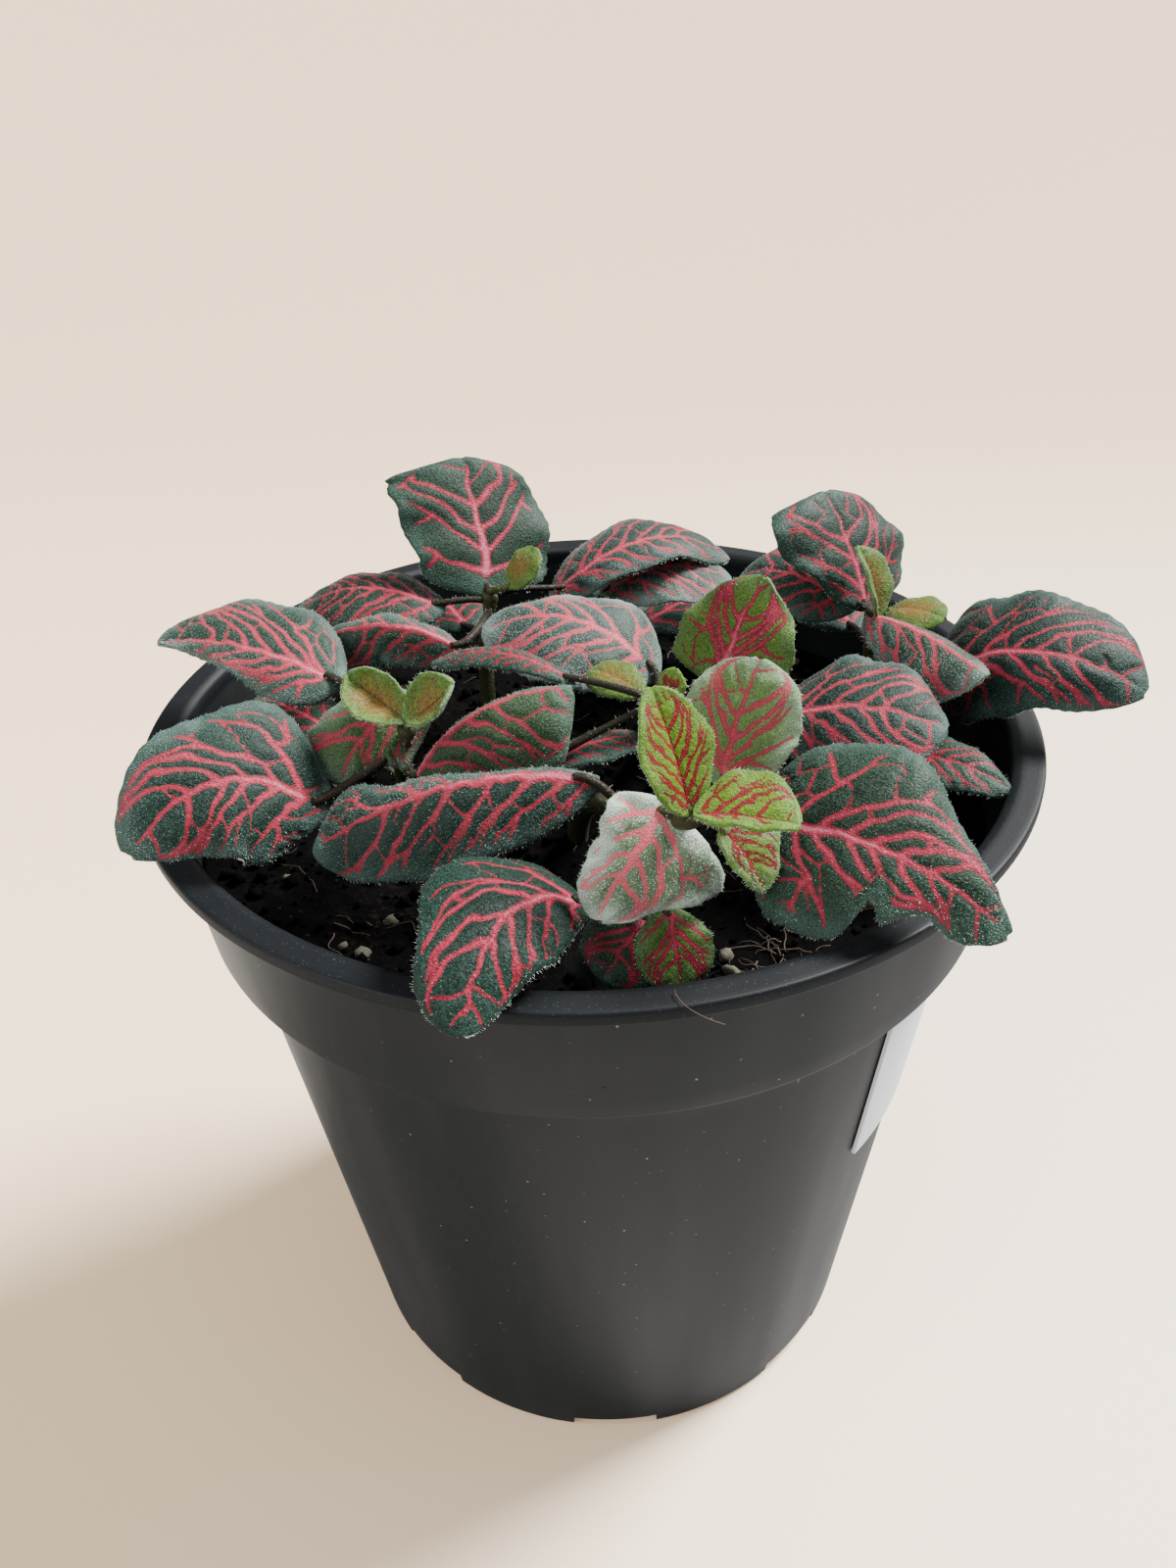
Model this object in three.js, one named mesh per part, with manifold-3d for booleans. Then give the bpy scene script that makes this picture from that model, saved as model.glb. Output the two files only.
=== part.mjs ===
// Potted nerve plant: a small creeping house plant with red-veined leaves, in a black plastic pot.
// Millimetres, +Z up. The origin is on the pot's axis, at the level of its flat underside.
// The leaves lean mostly towards -Y, which is the plant's front.

import * as THREE from "three";
import { mergeVertices } from "three/addons/utils/BufferGeometryUtils.js";
import Module from "manifold-3d";

// Pot
const POT_HEIGHT = 107.3;
const RIM_RADIUS = 60;
const RIM_INNER_RADIUS = 57.2;
const LIP_HEIGHT = 1.8;
const COLLAR_TOP_RADIUS = 57;
const COLLAR_BOTTOM_RADIUS = 55.3;
const COLLAR_HEIGHT = 20;
const BODY_TOP_RADIUS = 51.7;
const BASE_RADIUS = 42;
const WALL = 1.2;
const FLOOR = 1.6;
const FOOT_BEVEL = 1.2;
const POT_SIDES = 60;

// Drainage: notches where the wall meets the floor, and holes through the floor
const NOTCH_COUNT = 8;
const NOTCH_LENGTH = 13;
const NOTCH_HEIGHT = 2.6;
const NOTCH_DEPTH = 5;
const HOLE_RADIUS = 3.2;
const HOLE_RING_RADIUS = 24;
const HOLE_COUNT = 4;

// Soil
const SOIL_LEVEL = 94;
const SOIL_MOUND = 1.2;
const SOIL_RINGS = 5;
const SOIL_SIDES = 40;
const SEAT_GAP = 0.3;
const PLANTING_DEPTH = 5;
const PLANTING_CLEARANCE = 0.5;

// Blank paper label on the pot's side
const LABEL_ANGLE = -26;
const LABEL_WIDTH = 34;
const LABEL_LOW = 54;
const LABEL_HIGH = 83;
const LABEL_THICKNESS = 0.5;

// Leaves and stems
const BLADE_THICKNESS = 0.7;
const LEAF_ROWS = 7;
const SMALL_LEAF_ROWS = 5;
const LEAF_COLUMNS = 4;
const LARGE_LEAF_COLUMNS = 6;
const SMALL_LEAF_WIDTH = 5;
const LARGE_LEAF_WIDTH = 9.5;
const SCRAP_VOLUME = 1;
const WELD_DISTANCE = 0.01;
const WAVE_SHARE = 0.05;
const WAVES_PER_LEAF = 2.5;
const STEM_SIDES = 6;
const STEM_STEPS = 7;
const PETIOLE_SIDES = 5;
const PETIOLE_STEPS = 3;
const PETIOLE_SHARE = 0.07;
const PETIOLE_LEAST_RADIUS = 0.5;

// Places along a leaf, as shares of its length, where the table gives its half widths
const STATIONS = [0, 0.1, 0.3, 0.5, 0.7, 0.9, 1];

// Each shoot has a stem, as points from the soil to the bud with its two end radii, and its leaves.
// A leaf's row holds: its name, the base and tip of its midrib, [roll, arch, sway], [fold and curl of
// the left half, fold and curl of the right half], the left half widths, the right half widths, and
// notches as [side, place, depth, span]. Roll is in degrees, and lowers the right side. Arch lifts the
// midrib's middle, and sway moves it to the right. A fold lifts its half, and a curl bends it on.
const SHOOTS = {
  front: {
    stem: [[-2, -14, 0], [0, -22, 106], [6, -38, 114], [10, -46, 120.3]],
    radii: [1.5, 1.0],
    leaves: [
      ["young upright", [9.5, -46.5, 121], [6, -42, 133], [0, 0.5, 0], [22, -20, 22, -20],
        [2.4, 4.1, 4.7, 4.1, 2.4], [2.3, 4, 4.7, 4.1, 2.4]],
      ["young side", [10, -47.5, 121.5], [20, -50, 121.5], [10, 0.5, 0], [25, -20, 20, -30],
        [3, 5, 5.6, 5.2, 3.5], [1, 1.6, 1.8, 1.7, 1.2]],
      ["pale back", [14, -37, 118], [18.5, -31.5, 130], [5, 1, 0], [10, -30, 10, -30],
        [3.9, 6, 6.8, 6.4, 4.6], [3.9, 6, 6.8, 6.4, 4.6]],
      ["pale front", [7.5, -43, 120], [0, -49, 110], [-50, 1, 0.3], [0, -30, 0, -30],
        [8.5, 11.2, 10, 7, 4], [4.5, 5, 4.3, 4, 3], [[1, 0.45, 0.15, 0.04]]],
      ["young low", [13, -45, 118], [17.5, -47, 111.5], [35, 1, 0], [10, -30, 10, -30],
        [3, 4.6, 4.8, 4, 2.5], [1.2, 1.8, 1.8, 1.6, 1]],
      ["big right", [17, -38, 113.5], [41.8, -52, 108.5], [35, 5, -1.5], [8, -40, 5, -30],
        [9.5, 12.5, 12, 7, 2.5], [9, 11, 9.8, 4.5, 4], [[1, 0.54, 0.45, 0.04]]],
      ["big left", [1, -32, 116], [-32.1, -33.2, 108], [-15, 5, 0], [-30, -30, 0, -20],
        [5, 8, 9.2, 8.8, 6], [1.2, 1.5, 2.2, 4.4, 7.2]],
    ],
  },
  low: {
    stem: [[4, -34, 0], [4, -40, 103], [4, -43.5, 108]],
    radii: [1.1, 0.8],
    leaves: [
      ["small right", [7.5, -45.5, 108], [8.5, -51, 102], [0, 1, 0], [12, -40, 12, -40],
        [2.5, 3.9, 4.4, 4.2, 3], [2.5, 3.9, 4.4, 4.2, 3]],
      ["small left", [5.5, -44, 106], [0.5, -49.5, 102], [-20, 1, 0], [12, -40, 12, -40],
        [2.8, 4.4, 5, 4.7, 3.4], [2.8, 4.4, 5, 4.7, 3.4]],
      ["over the rim", [-1, -44.5, 108], [-13, -64, 109], [-20, 4.5, 4], [0, -30, 0, -30],
        [3.5, 6, 6.5, 5.5, 3.5], [7.5, 9.3, 9.8, 7, 5]],
    ],
  },
  centre: {
    stem: [[8, 5, 0], [8, -8, 107], [8, -20, 118.5]],
    radii: [1.4, 0.9],
    leaves: [
      ["young bud", [10, -19.5, 119], [10.5, -19, 122.5], [0, 0.5, 0], [12, -40, 12, -40],
        [1.1, 1.8, 2, 1.9, 1.3], [1.1, 1.8, 2, 1.9, 1.3]],
      ["young left", [6.5, -18.5, 119], [0.5, -12, 119], [-20, 1, 0], [12, -40, 12, -40],
        [1.6, 2.6, 3, 2.8, 2], [1.6, 2.6, 3, 2.8, 2]],
      ["narrow left", [-1.5, -17.8, 120.5], [-19, -12.5, 121], [-10, 3, 0], [0, -40, 0, -40],
        [1.2, 1.9, 2.1, 2, 1.4], [1.2, 1.9, 2.1, 2, 1.4]],
      ["narrow front", [-4.5, -23.5, 113], [6, -20, 114], [0, 1, 0], [0, -20, 0, -20],
        [2, 3, 3.5, 3.3, 2.4], [2, 3, 3.5, 3.3, 2.4]],
      ["wide back", [9.5, -1, 112], [-14, 4.5, 117], [-20, 5.5, 1], [5, -40, 5, -40],
        [6, 9, 10, 9, 6], [8, 8.5, 6.5, 4.5, 4.5]],
      ["tall right", [16.4, -11.6, 116], [22.4, -5.9, 128], [5, 0.5, 0], [5, -20, 5, -20],
        [7.7, 8.8, 8.5, 7, 3.8], [6.5, 8, 8, 6.6, 3]],
    ],
  },
  left: {
    stem: [[-24, -8, 0], [-24, -15, 107], [-21.3, -22.7, 118.3]],
    radii: [1.4, 0.9],
    leaves: [
      ["young left", [-21, -22.5, 119], [-28.5, -18, 123], [-35, -1, 0], [20, 30, 20, 30],
        [2.4, 3.9, 4.5, 4.2, 3], [2, 3, 3.4, 3.2, 2.2]],
      ["young right", [-21.5, -23, 119], [-15.5, -22.5, 124], [25, -1, 0], [20, 20, 20, 20],
        [2.1, 3.5, 4, 3.7, 2.6], [2.1, 3.5, 4, 3.7, 2.6]],
      ["round front", [-19.2, -18.5, 117], [-30, -23, 111], [-55, 1.5, 3], [0, -30, 0, -30],
        [5, 6.7, 6.2, 4.7, 2.8], [3, 4, 5, 5.5, 5.5]],
      ["big left", [-31.5, -26.5, 109], [-51.3, -37.5, 112], [-45, 4, 5], [5, -40, 5, -30],
        [8, 9.5, 9, 8, 5], [6, 10.5, 9, 8, 4.5]],
      ["long left", [-32.5, -3.5, 114], [-58.5, 4.5, 117], [-25, 3.5, 0], [5, -40, 5, -40],
        [5, 5.5, 4, 2.3, 1.2], [7.5, 10.5, 10.5, 9.5, 7]],
      ["low left", [-35.5, -3.5, 107], [-47, 6, 107], [-10, 1, 0], [12, -40, 12, -40],
        [3.4, 5.3, 6, 5.7, 4], [3.4, 5.3, 6, 5.7, 4]],
      ["long right", [-22, -22, 109], [-1.8, -20, 121.2], [20, 4, -1], [-40, -20, -10, -60],
        [3, 5, 5, 3.6, 1.8], [3.5, 6.5, 9, 10, 9.4], [[1, 0.95, -0.15, 0.04]]],
    ],
  },
  back_left: {
    stem: [[-15, 14, 0], [-15, 15, 106], [-13.5, 15.5, 117.5]],
    radii: [1.4, 0.9],
    leaves: [
      ["draped front", [-17, 4, 114], [-37.4, 6, 115], [-10, 4, 0], [-50, -40, 10, -40],
        [3.5, 5.5, 6.5, 9, 5], [2, 3, 3, 3, 2], [[-1, 0.55, 0.25, 0.06]]],
      ["tall back", [-14, 16, 117], [-17.2, 29, 133], [12, 0.5, 0.5], [5, -20, 5, -20],
        [8, 9.8, 11, 11.5, 11], [8.5, 10.5, 11.2, 10, 7], [[-1, 0.95, -0.36, 0.035]]],
      ["young bud", [-10.5, 14, 119], [-6.5, 15.5, 124], [10, 0.5, 0], [12, -40, 12, -40],
        [1.8, 3, 3.5, 3.3, 2.3], [1.8, 3, 3.5, 3.3, 2.3]],
      ["left", [-20, 14, 116], [-42, 18.5, 115], [-15, 3.5, 0], [0, -40, 0, -40],
        [4.3, 6.7, 7.5, 7.1, 5.1], [4.3, 6.7, 7.5, 7.1, 5.1]],
      ["right", [-5, 20, 114], [22.5, 31, 115], [15, 7, 0], [5, -40, 5, -40],
        [5, 7.5, 8, 8, 5.5], [3.5, 4.5, 4.5, 4, 3]],
      ["hidden back", [-18, 21, 109], [-26, 38, 104], [0, 3, 0], [5, -40, 5, -40],
        [4.5, 7, 8, 7.5, 5], [4.5, 7, 8, 7.5, 5]],
    ],
  },
  back: {
    stem: [[5, 30, 0], [4, 28, 104], [3, 25, 112]],
    radii: [1.2, 0.8],
    leaves: [
      ["front right", [2.5, 24.5, 112.5], [22.5, 26, 113.5], [20, 4, 0], [5, -30, 5, -30],
        [3.7, 5.8, 6.5, 6.2, 4.4], [3.7, 5.8, 6.5, 6.2, 4.4]],
      ["hidden back", [6, 31, 106], [10, 50, 103], [0, 3, 0], [5, -40, 5, -40],
        [4.5, 7, 8, 7.5, 5], [4.5, 7, 8, 7.5, 5]],
      ["hidden right", [9, 28, 105], [27, 38, 104], [5, 3, 0], [5, -40, 5, -40],
        [4, 6, 7, 6.5, 4.5], [4, 6, 7, 6.5, 4.5]],
    ],
  },
  right: {
    stem: [[24, -8, 0], [24, -12, 104], [25, -15, 111]],
    radii: [1.2, 0.8],
    leaves: [
      ["wide", [23.5, -14, 112], [42.5, -22.5, 115], [25, 3.5, 0], [5, -40, 5, -40],
        [7.5, 10.5, 10, 9.5, 6], [5, 8.5, 8.5, 8, 5.5]],
      ["narrow", [37.5, -17, 107], [50, -25.5, 108], [15, 2.5, 0], [12, -40, 12, -40],
        [3, 5, 4.5, 3.5, 2], [2, 3.5, 4, 3.5, 2.5]],
    ],
  },
  back_right: {
    stem: [[40, 6, 0], [40, 6, 106], [39.5, 5.5, 117]],
    radii: [1.4, 0.9],
    leaves: [
      ["tall back", [39, 8.5, 116], [34, 17.5, 130], [5, 1, 0], [8, -30, 8, -30],
        [3.5, 6.5, 9.5, 11, 9.5], [7.5, 11, 11.7, 10.2, 6], [[-1, 0.95, -0.25, 0.035]]],
      ["left", [38, 9.5, 116], [23.5, 21.5, 116], [-30, 4, 0], [5, -40, 5, -40],
        [4, 6.2, 7, 6.7, 4.8], [4, 6.2, 7, 6.7, 4.8]],
      ["young folded", [38.5, 0, 119], [36, 4.5, 127], [20, 0.5, 0], [50, -40, 50, -40],
        [1.8, 3, 3.5, 3.3, 2.2], [1.8, 3, 3.5, 3.3, 2.2]],
      ["young right", [41, 3.5, 118], [46.5, -3.5, 120], [20, 1, 0], [12, -40, 12, -40],
        [1.8, 3, 3.5, 3.3, 2.3], [1.8, 3, 3.5, 3.3, 2.3]],
      ["front", [37.7, 1.5, 118.5], [49, -15, 117.8], [30, 2.5, 0], [-50, -30, 0, -30],
        [4.5, 7, 8, 8.3, 6.8], [3, 5.2, 7, 7.6, 5.8]],
      ["big right", [47, -1, 110], [69.5, -14.5, 114.3], [30, 6, -1], [5, -30, 5, -60],
        [11, 11.5, 11, 10, 6.5], [8, 8.5, 8, 6.8, 4.5]],
      ["hidden back", [39, 14, 110], [35, 32, 107], [0, 3, 0], [5, -40, 5, -40],
        [4, 6.5, 7.5, 7, 5], [4, 6.5, 7.5, 7, 5]],
    ],
  },
};

const wasm = await Module();
wasm.setup();

const rad = THREE.MathUtils.degToRad;
const vec = (point) => new THREE.Vector3(...point);

function material(name, color, roughness) {
  return new THREE.MeshStandardMaterial({ name, color, roughness, metalness: 0 });
}

// A closed three.js geometry as a solid, with vertices nearer than the weld distance made one
function solid(geometry, weld = 1e-4) {
  geometry.deleteAttribute("normal");
  geometry.deleteAttribute("uv");
  const merged = mergeVertices(geometry, weld);
  return new wasm.Manifold(
    new wasm.Mesh({
      numProp: 3,
      vertProperties: new Float32Array(merged.attributes.position.array),
      triVerts: new Uint32Array(merged.index.array),
    }),
  );
}

// A solid back as a three.js geometry
function geometryOf(body) {
  const mesh = body.getMesh();
  const geometry = new THREE.BufferGeometry();
  geometry.setAttribute("position", new THREE.BufferAttribute(mesh.vertProperties, 3));
  geometry.setIndex(new THREE.BufferAttribute(mesh.triVerts, 1));
  geometry.computeVertexNormals();
  return geometry;
}

// Vertices and triangles, as lists, into a geometry
function surface(points, triangles) {
  const geometry = new THREE.BufferGeometry();
  geometry.setAttribute("position", new THREE.Float32BufferAttribute(points.flat(), 3));
  geometry.setIndex(triangles.flat());
  return geometry;
}

function potProfile() {
  const lipBottom = POT_HEIGHT - LIP_HEIGHT;
  const collarBottom = POT_HEIGHT - COLLAR_HEIGHT;
  const stepUnder = collarBottom - 0.5;
  const innerTop = COLLAR_TOP_RADIUS - WALL;
  return [
    [0, 0],
    [BASE_RADIUS - FOOT_BEVEL, 0],
    [BASE_RADIUS, FOOT_BEVEL],
    [BODY_TOP_RADIUS, stepUnder],
    [COLLAR_BOTTOM_RADIUS - 0.5, stepUnder],
    [COLLAR_BOTTOM_RADIUS, collarBottom],
    [COLLAR_TOP_RADIUS, lipBottom],
    [RIM_RADIUS - 0.3, lipBottom],
    [RIM_RADIUS, lipBottom + 0.3],
    [RIM_RADIUS, POT_HEIGHT - 0.3],
    [RIM_RADIUS - 0.3, POT_HEIGHT],
    [RIM_INNER_RADIUS, POT_HEIGHT],
    [innerTop + 0.3, POT_HEIGHT - 0.5],
    [innerTop, lipBottom],
    [COLLAR_BOTTOM_RADIUS - WALL, collarBottom + WALL],
    [BODY_TOP_RADIUS - WALL, stepUnder - WALL],
    [BASE_RADIUS - WALL, FLOOR],
    [0, FLOOR],
  ];
}

function lathe(profile, sides) {
  return new THREE.LatheGeometry(profile.map(([r, z]) => new THREE.Vector2(r, z)), sides).rotateX(Math.PI / 2);
}

function potBody() {
  let pot = solid(lathe(potProfile(), POT_SIDES));
  for (let i = 0; i < NOTCH_COUNT; i += 1) {
    const notch = new THREE.BoxGeometry(2 * NOTCH_DEPTH, NOTCH_LENGTH, 2 * NOTCH_HEIGHT);
    notch.translate(BASE_RADIUS, 0, 0).rotateZ((2 * Math.PI * i) / NOTCH_COUNT);
    pot = pot.subtract(solid(notch));
  }
  for (let i = 0; i < HOLE_COUNT; i += 1) {
    const hole = new THREE.CylinderGeometry(HOLE_RADIUS, HOLE_RADIUS, 4 * FLOOR, 16).rotateX(Math.PI / 2);
    hole.translate(HOLE_RING_RADIUS, 0, 0).rotateZ((2 * Math.PI * (i + 0.5)) / HOLE_COUNT);
    pot = pot.subtract(solid(hole));
  }
  return pot;
}

// Height of the soil: a low mound with lumps, level at the wall
function soilHeight(x, y) {
  const share = Math.hypot(x, y) / BODY_TOP_RADIUS;
  const lumps = 0.5 * Math.sin(x / 5.3 + 1) * Math.cos(y / 6.1) + 0.3 * Math.sin(x / 2.9 - y / 3.7);
  return SOIL_LEVEL + SOIL_MOUND * (1 - share * share) + lumps * Math.max(0, 1 - share ** 4);
}

// Radius of the pot's inside at a height, less the seat gap
function soilRadius(z) {
  const collarBottom = POT_HEIGHT - COLLAR_HEIGHT;
  const low = collarBottom - 0.5 - WALL;
  if (z >= collarBottom + WALL) {
    const share = (z - collarBottom) / (COLLAR_HEIGHT - LIP_HEIGHT);
    return THREE.MathUtils.lerp(COLLAR_BOTTOM_RADIUS, COLLAR_TOP_RADIUS, share) - WALL - SEAT_GAP;
  }
  return THREE.MathUtils.mapLinear(Math.min(z, low), FLOOR, low, BASE_RADIUS, BODY_TOP_RADIUS) - WALL - SEAT_GAP;
}

function soilBody() {
  const collarBottom = POT_HEIGHT - COLLAR_HEIGHT;
  const low = collarBottom - 0.5 - WALL;
  const floor = FLOOR + SEAT_GAP;
  const points = [[0, 0, soilHeight(0, 0)]];
  const rings = [];
  for (let k = 1; k <= SOIL_RINGS; k += 1) {
    rings.push([(soilRadius(SOIL_LEVEL) * k) / SOIL_RINGS, null]);
  }
  rings.push([soilRadius(collarBottom + WALL), collarBottom + WALL + SEAT_GAP]);
  rings.push([soilRadius(low), low + SEAT_GAP]);
  rings.push([soilRadius(floor), floor]);
  for (const [r, z] of rings) {
    for (let i = 0; i < SOIL_SIDES; i += 1) {
      const angle = (2 * Math.PI * i) / SOIL_SIDES;
      const x = r * Math.cos(angle);
      const y = r * Math.sin(angle);
      points.push([x, y, z ?? soilHeight(x, y)]);
    }
  }
  points.push([0, 0, floor]);
  const triangles = [];
  const at = (ring, i) => 1 + ring * SOIL_SIDES + (i % SOIL_SIDES);
  for (let i = 0; i < SOIL_SIDES; i += 1) {
    triangles.push([0, at(0, i), at(0, i + 1)]);
    for (let k = 0; k < rings.length - 1; k += 1) {
      triangles.push([at(k, i), at(k + 1, i), at(k + 1, i + 1)]);
      triangles.push([at(k, i), at(k + 1, i + 1), at(k, i + 1)]);
    }
    triangles.push([points.length - 1, at(rings.length - 1, i + 1), at(rings.length - 1, i)]);
  }
  let soil = solid(surface(points, triangles));
  for (const shoot of Object.values(SHOOTS)) {
    soil = soil.subtract(plantingHole(shoot));
  }
  return soil;
}

// Plain round hole in the soil for a shoot's stem
function plantingHole(shoot) {
  const path = stemPath(shoot);
  const radius = shoot.radii[0] + PLANTING_CLEARANCE;
  const start = path.getPointAt(0);
  const hole = new THREE.CylinderGeometry(radius, radius, 2 * PLANTING_DEPTH + 2 * SEAT_GAP, 12);
  hole.rotateX(Math.PI / 2).translate(start.x, start.y, start.z + PLANTING_DEPTH);
  return solid(hole);
}

// A stem starts straight up out of its hole, then follows its points
function stemPath(shoot) {
  const [x, y] = shoot.stem[0];
  const start = new THREE.Vector3(x, y, SOIL_LEVEL - PLANTING_DEPTH + SEAT_GAP);
  const surfaceLevel = new THREE.Vector3(x, y, SOIL_LEVEL + 2);
  return new THREE.CatmullRomCurve3([start, surfaceLevel, ...shoot.stem.slice(1).map(vec)]);
}

// A round tube along a curve, from the first to the last radius, closed at both ends
function tube(curve, radii, sides, steps) {
  const frames = curve.computeFrenetFrames(steps, false);
  const points = [];
  for (let k = 0; k <= steps; k += 1) {
    const centre = curve.getPointAt(k / steps);
    const radius = THREE.MathUtils.lerp(radii[0], radii[1], k / steps);
    for (let i = 0; i < sides; i += 1) {
      const angle = (2 * Math.PI * i) / sides;
      const point = centre.clone();
      point.addScaledVector(frames.normals[k], radius * Math.cos(angle));
      point.addScaledVector(frames.binormals[k], radius * Math.sin(angle));
      points.push(point.toArray());
    }
  }
  points.push(curve.getPointAt(0).toArray(), curve.getPointAt(1).toArray());
  const triangles = [];
  const at = (k, i) => k * sides + (i % sides);
  for (let i = 0; i < sides; i += 1) {
    for (let k = 0; k < steps; k += 1) {
      triangles.push([at(k, i), at(k, i + 1), at(k + 1, i + 1)]);
      triangles.push([at(k, i), at(k + 1, i + 1), at(k + 1, i)]);
    }
    triangles.push([points.length - 2, at(0, i + 1), at(0, i)]);
    triangles.push([points.length - 1, at(steps, i), at(steps, i + 1)]);
  }
  return solid(surface(points, triangles));
}

// Axes of a leaf at rest: along it, its normal and its right side
function leafAxes(base, tip, roll) {
  const along = tip.clone().sub(base);
  const length = along.length();
  along.normalize();
  const flat = new THREE.Vector3(0, 0, 1).addScaledVector(along, -along.z).normalize();
  const side = along.clone().cross(flat);
  const normal = flat.multiplyScalar(Math.cos(rad(roll))).addScaledVector(side, Math.sin(rad(roll)));
  return { along, length, normal, right: along.clone().cross(normal) };
}

// Half width at a place along the leaf: a smooth curve through the squares of the table's widths,
// so that base and tip are round
function halfWidth(widths, v) {
  const y = [0, ...widths.map((w) => w * w), 0];
  const slope = (i) => (y[i + 1] - y[i]) / (STATIONS[i + 1] - STATIONS[i]);
  const tangent = (i) => {
    if (i === 0) return slope(0);
    if (i === STATIONS.length - 1) return slope(i - 1);
    const before = STATIONS[i] - STATIONS[i - 1];
    const after = STATIONS[i + 1] - STATIONS[i];
    return (slope(i) * before + slope(i - 1) * after) / (before + after);
  };
  const i = Math.min(STATIONS.findLastIndex((s) => s <= v), STATIONS.length - 2);
  const step = STATIONS[i + 1] - STATIONS[i];
  const t = (v - STATIONS[i]) / step;
  const square = y[i] * (1 + 2 * t) * (1 - t) ** 2 + tangent(i) * step * t * (1 - t) ** 2
    + y[i + 1] * t * t * (3 - 2 * t) - tangent(i + 1) * step * t * t * (1 - t);
  return Math.sqrt(Math.max(square, 0.25));
}

// Point of a leaf's midrib
function midrib(leaf, v) {
  const bow = 4 * v * (1 - v);
  return leaf.base.clone()
    .addScaledVector(leaf.along, leaf.length * v)
    .addScaledVector(leaf.normal, leaf.arch * bow)
    .addScaledVector(leaf.right, leaf.sway * bow);
}

// Point of the blade's middle surface: u runs from -1 at the left margin to 1 at the right
function bladePoint(leaf, u, v) {
  const step = 1e-3;
  const tangent = midrib(leaf, v + step).sub(midrib(leaf, v - step)).normalize();
  const normal = leaf.normal.clone().addScaledVector(tangent, -leaf.normal.dot(tangent)).normalize();
  const right = tangent.clone().cross(normal);
  const half = u < 0 ? 0 : 1;
  let width = halfWidth(leaf.widths[half], v);
  for (const [side, place, depth, span] of leaf.notches) {
    if (u * side > 0) width *= 1 - depth * Math.exp(-(((v - place) / span) ** 2));
  }
  const reach = Math.abs(u);
  const curl = rad(leaf.shape[2 * half + 1]) * reach;
  const lift = rad(leaf.shape[2 * half]) + curl / 2;
  const chord = curl === 0 ? 1 : Math.sin(curl / 2) / (curl / 2);
  const phase = leaf.phase + (u < 0 ? 2 : 0);
  const wave = leaf.wave * reach * reach * Math.sin(2 * Math.PI * WAVES_PER_LEAF * v + phase) * Math.min(1, 6 * v);
  return midrib(leaf, v)
    .addScaledVector(right, Math.sign(u) * width * reach * Math.cos(lift) * chord)
    .addScaledVector(normal, width * reach * Math.sin(lift) * chord + wave);
}

function readLeaf([, from, to, [roll, arch, sway], shape, left, right, notches = []], index) {
  const base = vec(from);
  const tip = vec(to);
  const wide = Math.max(...left, ...right);
  const wave = WAVE_SHARE * wide;
  return { base, tip, arch, sway, shape, widths: [left, right], notches, wide, wave, phase: index, ...leafAxes(base, tip, roll) };
}

// A blade: the middle surface's grid, moved out by half the thickness on both faces and joined round
// the edge. Both faces are split along the same diagonals.
function blade(leaf) {
  const rows = leaf.wide > SMALL_LEAF_WIDTH ? LEAF_ROWS : SMALL_LEAF_ROWS;
  const columns = leaf.wide > LARGE_LEAF_WIDTH ? LARGE_LEAF_COLUMNS : LEAF_COLUMNS;
  const nudge = 1e-3;
  const upper = [];
  const lower = [];
  for (let k = 0; k <= rows; k += 1) {
    const v = 0.01 + 0.49 * (1 - Math.cos((Math.PI * k) / rows));
    for (let i = 0; i <= columns; i += 1) {
      const u = -1 + (2 * i) / columns;
      const point = bladePoint(leaf, u, v);
      const inner = Math.min(Math.max(u, -1 + nudge), 1 - nudge);
      const across = bladePoint(leaf, inner + nudge, v).sub(bladePoint(leaf, inner - nudge, v));
      const along = bladePoint(leaf, u, v + nudge).sub(bladePoint(leaf, u, v - nudge));
      const normal = across.cross(along).normalize();
      upper.push(point.clone().addScaledVector(normal, BLADE_THICKNESS / 2).toArray());
      lower.push(point.clone().addScaledVector(normal, -BLADE_THICKNESS / 2).toArray());
    }
  }
  const across = columns + 1;
  const count = upper.length;
  const triangles = [];
  for (let k = 0; k < rows; k += 1) {
    for (let i = 0; i < columns; i += 1) {
      const a = k * across + i;
      const corners = [a, a + 1, a + across + 1, a + across];
      const falling = i < columns / 2;
      const pair = falling ? [[0, 1, 3], [1, 2, 3]] : [[0, 1, 2], [0, 2, 3]];
      for (const [p, q, r] of pair) {
        triangles.push([corners[p], corners[q], corners[r]]);
        triangles.push([count + corners[r], count + corners[q], count + corners[p]]);
      }
    }
  }
  const edge = [];
  for (let i = 0; i < columns; i += 1) edge.push(i);
  for (let k = 0; k < rows; k += 1) edge.push(k * across + columns);
  for (let i = columns; i > 0; i -= 1) edge.push(rows * across + i);
  for (let k = rows; k > 0; k -= 1) edge.push(k * across);
  edge.forEach((a, n) => {
    const b = edge[(n + 1) % edge.length];
    triangles.push([a, count + a, b], [b, count + a, count + b]);
  });
  return solid(surface([...upper, ...lower], triangles));
}

// The point of a stem nearest to a leaf's base, and the direction of the stem there
function nearestOnStem(path, base) {
  let best = { distance: Infinity };
  for (let k = 20; k <= 100; k += 1) {
    const share = k / 100;
    const point = path.getPointAt(share);
    const distance = point.distanceTo(base);
    if (distance < best.distance) best = { distance, point, direction: path.getTangentAt(share) };
  }
  return best;
}

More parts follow.
